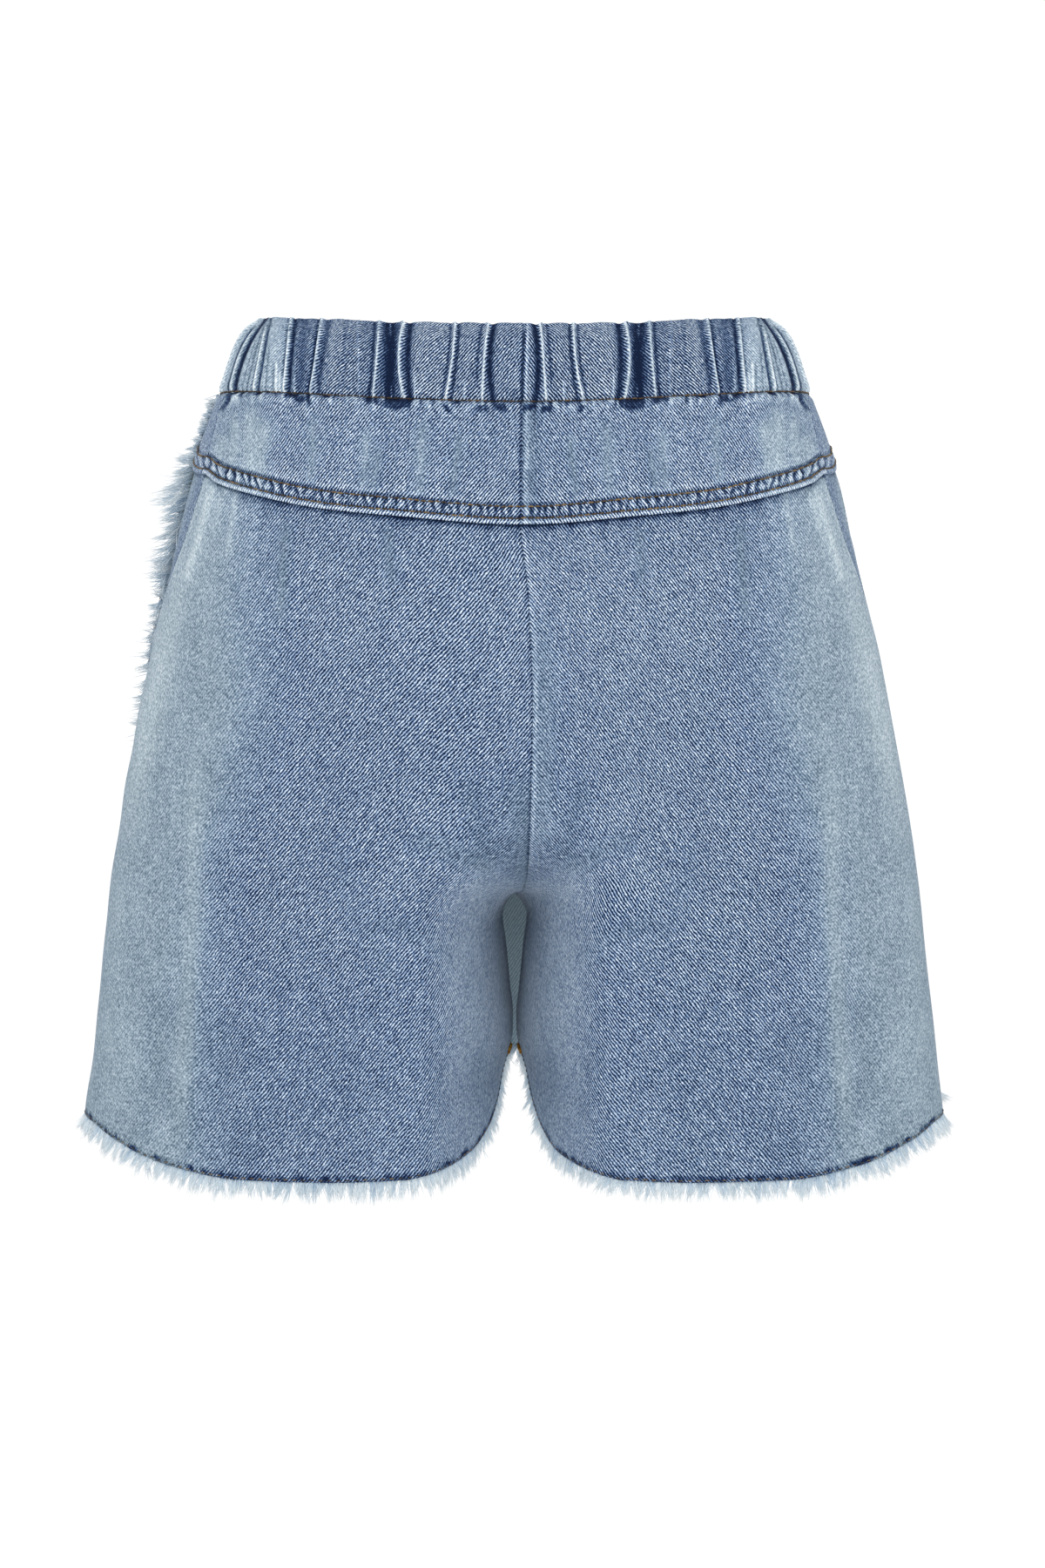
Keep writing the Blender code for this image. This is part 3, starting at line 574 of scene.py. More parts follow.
class Nodes:
    """Short names for building a material's nodes."""

    def __init__(self, name):
        self.material = bpy.data.materials.new(name)
        self.material.use_nodes = True
        self.tree = self.material.node_tree
        self.shader = self.tree.nodes["Principled BSDF"]

    def feed(self, node, inputs):
        """Links signals to a node's inputs, and sets the others to plain numbers."""
        for key, value in inputs.items():
            if isinstance(value, Signal):
                self.tree.links.new(value.socket, node.inputs[key])
            else:
                node.inputs[key].default_value = value

    def add(self, kind, inputs, output=0, **settings):
        node = self.tree.nodes.new("ShaderNode" + kind)
        for key, value in settings.items():
            setattr(node, key, value)
        self.feed(node, inputs)
        return Signal(self, node.outputs[output])

    def math(self, operation, a, b=0.0, clamp=False):
        return self.add("Math", {0: a, 1: b}, operation=operation, use_clamp=clamp)

    def attribute(self, name, output="Fac"):
        return self.add("Attribute", {}, output, attribute_name=name)

    def weave(self):
        """The cloth's own coordinates, across and down, in millimetres."""
        place = self.attribute("weave", "Vector")
        return [self.add("SeparateXYZ", {0: place}, axis) for axis in (0, 1)]

    def noise(self, place, scale, detail):
        vector = self.add("CombineXYZ", dict(enumerate(place)))
        return self.add("TexNoise", {"Scale": scale, "Detail": detail, "Vector": vector})

    def ramp(self, factor, stops, dim=1.0):
        made = self.add("ValToRGB", {0: factor})
        elements = made.socket.node.color_ramp.elements
        while len(elements) < len(stops):
            elements.new(0.5)
        reach = max(1.0, stops[-1][0])
        for element, (place, colour) in zip(elements, stops):
            element.position = place / reach
            element.color = (*[value * dim for value in linear(colour)], 1.0)
        return made

    def blend(self, factor, first, second):
        """The first colour where the factor is 0, the second where it is 1."""
        inputs = {"Factor": factor, 6: first, 7: second}
        return self.add("Mix", inputs, 2, data_type="RGBA")

    def bump(self, height, strength, distance):
        inputs = {"Strength": strength, "Distance": distance * METRE, "Height": height}
        self.feed(self.shader, {"Normal": self.add("Bump", inputs)})

    def finish(self, colour, roughness, glow=0.0):
        inputs = {"Base Color": colour, "Roughness": roughness, "Specular IOR Level": DULL}
        if glow:
            inputs.update({"Emission Color": colour, "Emission Strength": glow})
        self.feed(self.shader, inputs)
        return self.material


def linear(colour):
    """Linear values of an 8-bit display colour."""
    shares = [value / 255.0 for value in colour]
    return [s / 12.92 if s <= 0.04045 else ((s + 0.055) / 1.055)**2.4 for s in shares]


TWILL_PITCH = 1.58              # spacing of the twill lines along a row of weft
TWILL_SLOPE = math.tan(math.radians(51.5))
TWILL_CONTRAST = 1.1
SPECKLE = 1.4
DULL = 0.15                     # specular level of cloth and thread
ALBEDO = 0.66                   # the studio light makes cloth this much paler than its dye
RAMP_REACH = 1.3                # tone at the denim ramps' upper end
DYED_BELOW = 0.44               # tone under which the cloth has kept its blue
REVERSE_GLOW = 0.24             # painted light: the reverse face glows a little, standing in for light that comes through to the inside of the legs
FRAY_ALBEDO = 0.82
FRAY_GLOW = 0.17                # painted light: loose white fibres glow a little, standing in for light they pass on among themselves
CLOTH_ROUGHNESS = 0.9
# Display colours by tone; values past 255 are brighter than paper white.
DENIM_COLOURS = (
    (0.0, (8, 28, 62)), (0.17, (38, 60, 97)), (0.34, (69, 96, 137)),
    (0.5, (102, 131, 172)), (0.66, (140, 168, 207)), (0.83, (182, 206, 238)),
    (1.0, (221, 241, 258)), (RAMP_REACH, (278, 286, 292)),
)
WORN_COLOURS = (
    (0.0, (18, 36, 58)), (0.17, (54, 73, 92)), (0.34, (92, 112, 128)),
    (0.5, (126, 147, 162)), (0.66, (160, 180, 194)), (0.83, (196, 214, 226)),
    (1.0, (232, 247, 254)), (RAMP_REACH, (280, 286, 288)),
)
REVERSE_COLOURS = ((0.0, (140, 164, 177)), (RAMP_REACH, (196, 217, 225)))
FRAY_COLOURS = (
    (0.0, (146, 176, 206)), (0.25, (196, 214, 228)),
    (0.55, (224, 234, 240)), (0.9, (244, 248, 250)),
)


def denim_material(name, reverse=False):
    """Washed twill: pale and dark diagonal lines, flecked, over the ground tone of the wear."""
    n = Nodes(name)
    u, v = n.weave()
    tone = n.attribute("tone")
    grain = n.attribute("grain")
    sway = n.noise((u, v, 3.0), 0.11, 2.0)
    jitter = n.noise((u, v, 9.0), 0.9, 1.0)
    phase = u / TWILL_PITCH - v / (TWILL_PITCH * TWILL_SLOPE)
    bent = phase + (sway * 1.1 + jitter * 0.62)
    line = n.math("SINE", bent * (2.0 * math.pi)) * 0.5
    along = u * 0.62 + v * 0.78
    broken = n.noise((phase * 1.3, along * 0.5, 1.0), 1.0, 3.0)
    slub = n.noise((u * 1.1, v * 0.05, 5.0), 1.0, 2.0)
    fleck = n.noise((u, v, 7.0), 0.9, 4.0)
    cloud = n.noise((u, v, 2.0), 0.045, 3.0)
    value = tone + line * (grain * TWILL_CONTRAST * (broken * 1.5 + 0.25))
    value = value + (fleck - 0.5) * ((grain * 0.2 + 0.8) * SPECKLE)
    value = value + (slub - 0.5) * 0.12 + (cloud - 0.5) * 0.16
    scaled = value / RAMP_REACH
    n.bump(line * 0.6 + fleck * 0.6, 0.25, 0.25)
    if reverse:
        # The reverse glows a little: painted light inside the legs.
        return n.finish(n.ramp(scaled, REVERSE_COLOURS, ALBEDO), CLOTH_ROUGHNESS, REVERSE_GLOW)
    unfaded = n.math("MULTIPLY", DYED_BELOW - tone, 5.0, clamp=True)
    dyed = n.math("MULTIPLY", grain - 0.05, 1.15, clamp=True)
    fresh = n.ramp(scaled, DENIM_COLOURS, ALBEDO)
    worn = n.ramp(scaled, WORN_COLOURS, ALBEDO)
    return n.finish(n.blend(n.math("MAXIMUM", dyed, unfaded), worn, fresh), CLOTH_ROUGHNESS)


def thread_material(name, dark, light):
    """Sewing thread: plies along each stitch, and lighter stitches here and there that are painted
    glints.
    """
    n = Nodes(name)
    u, v = n.weave()
    plies = n.noise((u * 0.5, v, 1.0), 2.2, 2.0)
    # A stitch's tone is a painted glint; the plies are the thread's twist.
    worn = n.attribute("tone") * 0.7 + plies * 0.4
    n.bump(plies, 0.4, 0.1)
    return n.finish(n.ramp(worn, ((0.1, dark), (0.8, light)), ALBEDO), 0.6)


def fray_material(name):
    """Unwoven threads: bluish where they leave the cloth, nearly white at the ends."""
    n = Nodes(name)
    value = n.attribute("along") * 0.42 + n.attribute("tone") * 0.5
    # The fibres glow a little: painted light.
    return n.finish(n.ramp(value, FRAY_COLOURS, FRAY_ALBEDO), 0.85, FRAY_GLOW)


DENIM_FACE = denim_material("washed_twill")
DENIM_BACK = denim_material("twill_reverse", reverse=True)
BROWN_THREAD = thread_material("brown_thread", (42, 40, 40), (142, 120, 88))
BAND_THREAD = thread_material("dark_thread", (34, 36, 44), (126, 104, 78))
TACK_THREAD = thread_material("tack_thread", (150, 92, 20), (236, 178, 70))
FRAY = fray_material("frayed_threads")


# ---------------- meshes
def mesh_object(name, points, faces, materials, attributes, indices=None):
    """An object from points in millimetres and faces given as arrays of corners."""
    mesh = bpy.data.meshes.new(name)
    corners = np.concatenate([part.ravel() for part in faces]).astype(np.int32)
    sizes = np.concatenate([np.full(len(part), part.shape[1]) for part in faces]).astype(np.int32)
    starts = np.concatenate([[0], np.cumsum(sizes)[:-1]]).astype(np.int32)
    mesh.vertices.add(len(points))
    mesh.vertices.foreach_set("co", (points * METRE).astype(np.float32).ravel())
    mesh.loops.add(len(corners))
    mesh.loops.foreach_set("vertex_index", corners)
    mesh.polygons.add(len(sizes))
    mesh.polygons.foreach_set("loop_start", starts)
    for attribute, values in attributes.items():
        kind, field = ("FLOAT_VECTOR", "vector") if values.ndim == 2 else ("FLOAT", "value")
        made = mesh.attributes.new(attribute, kind, "POINT")
        made.data.foreach_set(field, values.astype(np.float32).ravel())
    for material in materials:
        mesh.materials.append(material)
    if indices is not None:
        mesh.polygons.foreach_set("material_index", indices.astype(np.int32))
    mesh.update(calc_edges=True)
    mesh.validate()
    mesh.shade_smooth()
    made = bpy.data.objects.new(name, mesh)
    bpy.context.scene.collection.objects.link(made)
    return made


def grid_faces(rows, columns, offset=0, flip=False):
    r, c = np.meshgrid(np.arange(rows - 1), np.arange(columns - 1), indexing="ij")
    a = (r * columns + c + offset).ravel()
    faces = np.stack([a, a + columns, a + columns + 1, a + 1], axis=-1)
    return faces[:, ::-1] if flip else faces


def faces_inward(points, normals, faces):
    """Whether a grid's faces point against its normals."""
    a, b, _, d = points.reshape(-1, 3)[faces[len(faces) // 2]]
    facing = np.cross(b - a, d - a)
    return np.dot(facing, normals.reshape(-1, 3)[faces[len(faces) // 2][0]]) < 0.0


INNER_STRIDE = 3                # the inner face keeps every third row and column


def thinned(count):
    """The rows or columns that the inner face keeps, with the first and the last."""
    return np.unique(np.append(np.arange(0, count, INNER_STRIDE), count - 1))


def shell(name, points, normals, weave, tone, grain):
    """A thin closed cloth shell: a fine outer face, its rim and a plainer inner face."""
    rows, columns = tone.shape
    flip = faces_inward(points, normals, grid_faces(rows, columns))
    outer = grid_faces(rows, columns, flip=flip)
    keep_r, keep_c = thinned(rows), thinned(columns)
    inner_rows, inner_columns = len(keep_r), len(keep_c)
    pick = np.ix_(keep_r, keep_c)
    base = rows * columns
    back = grid_faces(inner_rows, inner_columns, base, not flip)
    rim = {}
    # Each border by its kept points, the index and the step along it on the fine outer face and on
    # the inner one, and whether its faces turn the other way.
    borders = (
        (keep_c, 0, 1, 0, 1, False),
        (keep_c, base - columns, 1, (inner_rows - 1) * inner_columns, 1, True),
        (keep_r, columns - 1, columns, inner_columns - 1, inner_columns, False),
        (keep_r, 0, columns, 0, inner_columns, True),
    )
    for kept, start, step, inner_start, inner_step, turned in borders:
        for i, (first, last) in enumerate(zip(kept[:-1], kept[1:])):
            face = [start + step * k for k in range(first, last + 1)]
            face += [base + inner_start + inner_step * k for k in (i + 1, i)]
            rim.setdefault(len(face), []).append(face[::-1] if flip != turned else face)

    def spread(outer_values, inner_values=None):
        """Values of the outer face's points and then of the inner face's."""
        shape = (-1, 3) if outer_values.ndim == 3 else (-1,)
        inner = (outer_values if inner_values is None else inner_values)[pick]
        return np.concatenate([outer_values.reshape(shape), inner.reshape(shape)])

    faces = [outer, *(np.array(lip) for lip in rim.values()), back]
    outside = sum(len(part) for part in faces[:-1])
    return mesh_object(
        name, spread(points, points - normals * DENIM), faces, (DENIM_FACE, DENIM_BACK),
        {"weave": spread(weave), "tone": spread(tone), "grain": spread(grain)},
        np.repeat([0, 1], [outside, len(back)]),
    )


def weave_from(points, column=0):
    """Cloth coordinates of a grid: outwards from one column, and down from its top row."""
    u = arc_lengths(points, 1, column)
    v = arc_lengths(points, 0)
    return np.stack([u, v, np.zeros_like(u)], axis=-1)


CREASE_END = 0.22               # share of a crease's length over which it begins and ends


def crease_effect(creases, x, z, seed):
    """Height, tone and loss of twill contrast of all the creases at each point."""
    height, tone, calm = np.zeros((3, *x.shape))
    chance = np.random.default_rng(seed)
    for crease in creases:
        from_x = x - crease.x_top - chance.uniform(-2.0, 2.0)
        from_z = z - crease.z_top
        strength = chance.uniform(0.8, 1.15)
        ax = crease.x_low - crease.x_top
        az = crease.z_low - crease.z_top
        length = math.hypot(ax, az)
        s = (from_x * ax + from_z * az) / length**2
        off = (from_z * ax - from_x * az) / length - crease.bow * 4.0 * s * (1.0 - s)
        shape = bell(off, crease.width) * ease(s / CREASE_END) * ease((1.0 - s) / CREASE_END)
        height += shape * crease.height * strength
        tone += shape * crease.tone * strength
        calm += shape * crease.calm
    return height, tone, calm


# ---------------- waistband
BAND_COLUMNS = 1880
BAND_OUTER_ROWS = 24
BAND_TOP_ROWS = 4
BAND_INNER_ROWS = 7
INNER_ROW_STEP = 1.5            # cloth between the rows past the outer face
BAND_SINK = 1.5                 # the casing's top edge is rolled down by this much at the sides
BAND_SCALLOP = 0.4              # how much of a fold's rise shows as a bump in the top edge
BAND_LINING = 0.6               # tone inside the casing
BAND_PULL = 0.035               # share of its height over which the seam pulls the casing in
SEAM_DIP = 0.5                  # depth of the centre back seam and of the pull at the lower seam
BAND_SEAM = 0.8                 # half width of the centre back seam


def band_folds(turn, across, level):
    """Rise, tone and grain of the waistband; level runs from 0 at its top to 1 at its bottom."""
    quarter = np.mod(turn, 1.0)
    odd = np.mod(np.floor(turn), 2.0) == 1
    share = np.where(odd, 1.0 - quarter, quarter)
    rise = np.full(turn.shape, BAND_PUFF)
    tone = np.zeros(turn.shape)
    for fold in FOLDS:
        centre = fold.top * (1.0 - level) * (1.0 - 2.0 * level)
        centre = centre + fold.middle * 4.0 * level * (1.0 - level)
        centre = centre + fold.bottom * level * (2.0 * level - 1.0)
        shown = 1.0
        if fold.start > 0.0:
            shown = shown * ease((level - fold.start) / 0.12 + 0.3)
        if fold.end < 1.0:
            shown = shown * ease((fold.end - level) / 0.15 + 0.3)
        worn_width = fold.width * (1.1 if fold.tone > 0.0 else 1.0)
        rise = rise + bell(across - centre, fold.width) * shown * fold.rise
        tone = tone + bell(across - centre, worn_width) * shown * fold.tone
    for place in BULGES:
        rise = rise + bell(across - place * (1.0 + 0.05 * level), BULGE_WIDTH) * BULGE
    visible = slope(share, SIDE_START, -0.03)
    rise = mix(BAND_PUFF, rise, visible)
    tone = tone * visible
    for k, (place, side_rise) in enumerate(zip(SIDE_FOLDS, SIDE_RISE + SIDE_RISE)):
        lean = 0.006 * math.sin(3.0 * k) * (level - 0.5)
        shape = bell((share - place - lean) * QUARTER_ARC, 1.0) * side_rise
        rise = rise + shape
        tone = tone + SIDE_TONE * shape
    from_seam = np.minimum(turn, 4.0 - turn) * QUARTER_ARC
    seam = bell(from_seam, BAND_SEAM)
    beside = bell(from_seam - 1.7, BAND_SEAM) * (turn > 2.0)
    tone = tone - 0.34 * seam * ease(level / 0.2) + 0.26 * beside
    worn_off = 1.2 * np.clip(-tone, 0.0, 0.5) + 1.55 * np.clip(tone, 0.0, 0.6)
    tone = np.where(tone < 0.0, -1.7 * np.abs(tone)**1.25, 1.6 * tone)
    flatten = 1.0 - 0.75 * ease(1.0 - level / 0.10)
    rise = mix(BAND_PUFF, rise - SEAM_DIP * seam, flatten)
    return rise, band_tone(across) + tone, BAND_GRAIN * band_grain(across) * (1.0 - worn_off)


def band_weave(plain, turns):
    """Cloth coordinates of the casing from its outer rows, mirrored at centre front."""
    weave = weave_from(plain[::-1])[::-1]
    across = weave[len(plain) // 2, :, 0]
    weave[..., 0] = np.where(turns > 2.0, 2.0 * across[len(turns) // 2] - across, across)
    return weave


def build_waistband():
    """The casing as one closed ring cut at centre back, with its points and normals."""
    turns = np.linspace(1e-5, 4.0 - 1e-5, BAND_COLUMNS)
    # Each row by its level, its share of the way to the inner face and its place over the top edge.
    profile = [(level, 0.0, 0.0) for level in np.linspace(1.0, 0.0, BAND_OUTER_ROWS)]
    for angle in np.linspace(0.0, math.pi, BAND_TOP_ROWS + 1)[1:-1]:
        profile.append((0.0, 0.5 * (1.0 - math.cos(angle)), math.sin(angle)))
    profile += [(level, 1.0, 0.0) for level in np.linspace(0.0, 1.0, BAND_INNER_ROWS)]
    made_rows = []
    plain_rows = []
    for level, inward, crown in profile:
        z = mix(BAND_TOP, BAND_BOTTOM, level)
        plain = drifted(body(turns, z))
        plain_rows.append(plain)
        across = np.abs(plain[:, 0])
        rise, tone, grain = band_folds(turns, across, np.full(turns.shape, level))
        edge = bell(level - 1.0, BAND_PULL) if inward == 0.0 else 0.0
        rise = rise * (1.0 - 0.85 * edge) - SEAM_DIP * edge
        lift = mix(rise, -BAND_WALL, inward)
        points = body(turns, z) + body_normal(turns, z) * lift[:, None]
        sink = BAND_SINK * (1.0 - 1.3 * bell(plain[:, 0], 62.0))
        puffed, _, _ = band_folds(turns, across, np.full(turns.shape, 0.14))
        sink = sink - BAND_SCALLOP * (puffed - BAND_PUFF - 0.6)
        sink = sink * (1.0 - level)**4
        points[:, 2] += crown * 0.25 * (rise + BAND_WALL) - band_level(turns) - sink
        tone = np.where(inward > 0.6, BAND_LINING, tone + 0.05 * crown)
        made_rows.append((drifted(points), tone, grain))
    points, tones, grains = (np.array(part) for part in zip(*made_rows))
    normals = grid_normals(points, (points - points.mean(axis=(0, 1))) * LEVEL)
    count, columns = tones.shape
    faces = grid_faces(count + 1, columns) % (count * columns)
    ends = np.array([np.arange(count)[::-1] * columns, np.arange(count) * columns + columns - 1])
    if faces_inward(points, normals, faces[:columns]):
        faces = faces[:, ::-1]
        ends = ends[:, ::-1]
    weave = band_weave(np.array(plain_rows[:BAND_OUTER_ROWS]), turns)
    rest = np.repeat(weave[-1:], count - BAND_OUTER_ROWS, axis=0)
    rest[..., 1] -= np.arange(1, len(rest) + 1)[:, None] * INNER_ROW_STEP
    weave = np.concatenate([weave, rest])
    row_of_face = np.append(np.repeat(np.arange(count), columns - 1), [count, count])
    band = mesh_object(
        "waistband_cloth", points.reshape(-1, 3), [faces, ends], (DENIM_FACE, DENIM_BACK),
        {"weave": weave.reshape(-1, 3), "tone": tones.ravel(), "grain": grains.ravel()},
        (row_of_face >= BAND_OUTER_ROWS + BAND_TOP_ROWS - 1).astype(int),
    )
    return band, points, normals


# ---------------- yokes and leg panels
YOKE_COLUMNS = 250
YOKE_ROWS = 56
FRONT_YOKE_COLUMNS = 130
FRONT_YOKE_ROWS = 30
PANEL_COLUMNS = 190
FRONT_COLUMNS = 110
PANEL_ROWS = (64, 65, 73)       # above the crotch's curve, down the curve and down the leg
SOFTENING = 60                  # rounds of smoothing
YOKE_SEED = 51
PANEL_SEED = 21

# Lines along a yoke's lower edge, by distance above it: the folded edge, the two rows of stitches
# with the pale cloth over each, and the pale cloth past the upper one.
YOKE_LINES = named_rows(
    "above width tone height",
    (1.0, 0.9, 0.34, 0), (1.6, 1.5, 0, 0.55),
    (YOKE_ROW_LOW, 1.0, -0.34, 0), (YOKE_ROW_LOW, 0.55, 0, -0.45),
    (YOKE_ROW_LOW + 1.8, 0.7, 0.12, 0),
    (YOKE_ROW_HIGH, 1.0, -0.34, 0), (YOKE_ROW_HIGH, 0.55, 0, -0.45),
    (YOKE_ROW_HIGH + 1.8, 0.7, 0.12, 0), (YOKE_ROW_HIGH + 3.2, 2.0, 0.07, 0),
)
# Painted light on a leg's inner side, lifting the shade between the legs, growing from x and height
# over the two reaches.
PAINTED_INNER_LEG_LIGHT = named_rows(
    "tone x x_reach z z_reach",
    (0.25, 42, -26, -236, -24), (0.20, 15, -11, -246, -14),
)


def traits(half):
    """Whether a half is a front one and a left one, and the sign of its side."""
    left = half.endswith("left")
    return half.startswith("front"), left, 1.0 if left else -1.0


def columns_across(count):
    """Positions across a panel, a little closer at its two seams."""
    t = np.linspace(0.0, 1.0, count)
    return mix(t, ease(t), 0.25)


def side_wear(x, z):
    """0 in the middle of a panel, 1 on its smooth pale sides."""
    wander = 1.0 * np.sin(z / 9.0) + 2.0 * np.sin(z / 31.0 + 1.0)
    return ease((x - side_fade(z) + wander) / SIDE_FADE_WIDTH + 0.5)


def gather_streaks(x, drop, seed):
    """Small tucks just under the waistband's seam, and the folds above running out below it."""
    chance = np.random.default_rng(seed)
    height, tone = np.zeros((2, *x.shape))
    for fold in FOLDS:
        if fold.start > 0.0 and fold.end == 1.0:
            continue
        centre = fold.bottom * (1.0 + drop * 0.0016)
        shape = bell(x - centre, fold.width * 1.1 + drop * 0.06)
        shape = shape * fading(drop, 4.0 + 6.0 * fold.width)
        height += shape * fold.rise * 0.5
        tone += shape * fold.tone * (0.42 if fold.tone > 0.0 else 0.16)
    for line in TUCKS:
        bent = 0.5 * np.sin(1.1 * drop + line.at)
        shape = bell(x - line.at - line.lean * drop + bent, line.width)
        fade = ease((drop + 0.8 - line.start) / 0.8 + 0.3)
        fade = fade * slope(drop, line.end, -0.6 * (line.end - line.start))
        shape = shape * fade * chance.uniform(0.75, 1.15)
        tone += shape * line.tone * (2.2 if line.tone < 0.0 else 1.6)
        height += shape * line.tone * 1.4
    shown = drop - BAND_COVER
    at = 1.0
    while at < 150.0:
        width = chance.uniform(0.5, 1.1)
        reach = chance.uniform(1.2, 3.0)
        off = x - at - chance.uniform(-0.3, 0.3) * drop
        size = chance.uniform(0.0, 1.0)
        notch = bell(off, width) * bell(shown, reach) * size
        lip = bell(off - 2.0 * width, 0.6 * width) * bell(shown, reach) * size
        patch = bell(off - 2.4 * width, 1.4 * width + 0.5) * bell(shown - 1.4, 1.1 * reach + 0.8)
        height += 0.4 * lip - 0.5 * notch
        tone += 0.30 * lip - 0.60 * notch + 0.34 * patch * (0.3 + 0.7 * size)
        at += chance.uniform(2.0, 5.0) + width
    return height, tone


def build_yoke(half):
    """The cloth of a yoke, with its points and normals."""
    front, left, sign = traits(half)
    across = columns_across(FRONT_YOKE_COLUMNS if front else YOKE_COLUMNS)
    levels = np.linspace(0.0, 1.0, FRONT_YOKE_ROWS if front else YOKE_ROWS)[:, None]
    high = BAND_BOTTOM - band_level(panel_turn(across, BAND_BOTTOM, front)) + YOKE_TUCKED
    low = yoke_edge(across, front)
    z = mix(high, low, levels)
    turns = panel_turn(across[None, :], z, front)
    facing = body_normal(turns, z)
    points = body(turns, z) + facing * YOKE_LIFT
    x = points[..., 0]
    drop = high - z
    above = z - low
    swayed = x - sign * (x - drifted(points)[..., 0])
    fold_rise, fold_tone = gather_streaks(swayed, drop, YOKE_SEED + HALVES.index(half))
    fold_tone = np.clip(fold_tone, -FOLD_SHOWN, FOLD_SHOWN)
    between = slope(above, YOKE_ROW_LOW, 0.8) * slope(above, YOKE_ROW_HIGH, -0.8)
    pucker, pucker_tone = roping(x, above, 3 if front else 1)
    height = fold_rise * ease(above / 9.0) + (pucker + 0.5) * between
    height += 0.3 * ripple(x, z, 2.0) - 1.9 * bell(drop, 1.3)
    wear = 0.8 * ease((x - 110.0 - 2.5 * np.sin(drop / 4.0)) / 10.0) * slope(x, 152.0, -12.0)
    tone = YOKE_TONE + YOKE_WEAR * wear + fold_tone
    tone += 0.05 * bell(drop - 24.0, 16.0) - 0.035 * bell(x, 40.0)
    # The last term is painted shade just under the waistband's edge.
    tone += (pucker_tone + 0.07 * slope(x, 106.0, 14.0)) * between - 0.22 * bell(drop, 1.6)
    for line in YOKE_LINES:
        height += line.height * bell(above - line.above, line.width)
        tone += line.tone * bell(above - line.above, line.width)
    grain = YOKE_GRAIN * (1.0 - YOKE_LOSS * wear) * (1.0 - 0.15 * bell(drop - 22.0, 14.0))
    grain *= 1.0 - 1.3 * np.abs(fold_tone)
    for streak in YOKE_STREAKS:
        sway = 0.5 * np.sin(drop / 5.0 + streak.at)
        near = bell(swayed - streak.at - 0.07 * drop - sway, 1.5 * streak.width)
        near = near * slope(drop, streak.start, 9.0) * slope(above, 8.0, 6.0)
        tone += streak.tone * near
        grain *= 1.0 - 0.6 * near
    tone += seam_wear(points)
    if front:
        fresh_side = bell(from_side_seam(points), FRESH_WIDTH)
        tone = mix(tone, FRESH_YOKE[0], fresh_side * (1.0 - between))
        grain = mix(grain, FRESH_YOKE[1], fresh_side)
    else:
        from_centre = arc_lengths(points, 1)
        tone -= (0.40 if left else 0.18) * bell(from_centre - 0.2, SEAM_LINE)
        if not left:
            tone += 0.20 * bell(from_centre - 2.4, 1.2)
            height += 0.6 * bell(from_centre - 2.2, 1.8)
            grain = grain * (1.0 - 0.5 * bell(from_centre - 4.0, 5.0))
    weave = weave_from(points)
    points = points + facing * height[..., None]
    return finish_panel(f"yoke_{half}", points, weave, sign, tone, grain)


def roping(x, above, seed):
    """Puckers between the yoke's two rows of stitches, heaped in a few places."""
    chance = np.random.default_rng(seed)
    height, tone = np.zeros((2, *x.shape))
    at = 3.0
    while at < 170.0:
        heaped = bell(at - 22.0, 9.0) + 0.8 * bell(at - 72.0, 12.0) + 0.6 * bell(at - 118.0, 14.0)
        off = x - at - chance.uniform(-0.25, 0.35) * (above - 6.0) - 0.5 * np.sin(above * 1.1 + at)
        width = chance.uniform(0.5, 0.85)
        size = chance.uniform(0.6, 1.0) * min(1.0, 0.8 + heaped)
        gap = chance.uniform(1.1, 2.0)
        ridge = bell(off, width) * size
        hollow = bell(off - gap, width * 1.2) * mix(0.45, 1.0, slope(above, 3.0, 3.5)) * size
        height += 0.5 * ridge - 0.4 * hollow
        tone += 0.42 * ridge - 0.90 * hollow
        at += gap + chance.uniform(1.2, 3.4)
    return height, tone


def from_side_seam(points):
    return arc_lengths(points[:, ::-1], 1)[:, ::-1]


def seam_wear(points):
    """Dark line of the side seam and the pale ridge beside it."""
    from_side = from_side_seam(points)
    z = points[..., 2]
    broken = 0.6 + 0.4 * np.sin(z / 3.1) * np.sin(z / 7.3 + 1.0)
    return broken * (0.13 * bell(from_side - 2.2, 1.4) - 0.26 * bell(from_side, 0.7))


def panel_rows(columns, front):
    """Heights of a leg panel's rows: above the crotch's curve, down it, and down the leg."""
    across = columns_across(columns)
    top = yoke_edge(across, front) + YOKE_LAP
    hem = hem_edge(across, front)
    above, curved, below = PANEL_ROWS
    turned = np.sin(math.pi / 2 * np.linspace(0.0, 1.0, curved + 1)[1:])**(2.0 / TUCK_POWER)
    rows = [mix(top, TUCK_START, s) for s in np.linspace(0.0, 1.0, above)]
    rows += [np.full(columns, mix(TUCK_START, CROTCH, s)) for s in turned]
    rows += [mix(CROTCH, hem, s) for s in np.linspace(0.0, 1.0, below + 1)[1:]]
    return across, np.array(rows)


def leg_tone(x, z, below_yoke, wear):
    """Ground tone of a leg panel, without its creases and seams, and with painted light on the
    shaded inner leg.
    """
    tone = PANEL_TONE + wear * (PANEL_WEAR + 0.05 * bell(z + 90.0, 60.0))
    tone += 0.025 * bell(z + 115.0, 40.0) * (1.0 - wear)
    # The next line and the loop below add painted light on the inner thigh and leg, lifting the
    # shade between the legs, less towards the hem.
    tone += 0.02 * slope(x, 70.0, -40.0) * slope(z, -205.0, -40.0)
    low = 1.0 - 0.45 * slope(z, -316.0, -30.0)
    for patch in PAINTED_INNER_LEG_LIGHT:
        shape = slope(x, patch.x, patch.x_reach) * slope(z, patch.z, patch.z_reach)
        tone += patch.tone * shape * low
    tone += 0.05 * bell(x - 149.0, 8.0) * bell(z + 262.0, 45.0)
    return tone + 0.07 * slope(x, 112.0, 14.0) * bell(below_yoke, 20.0)


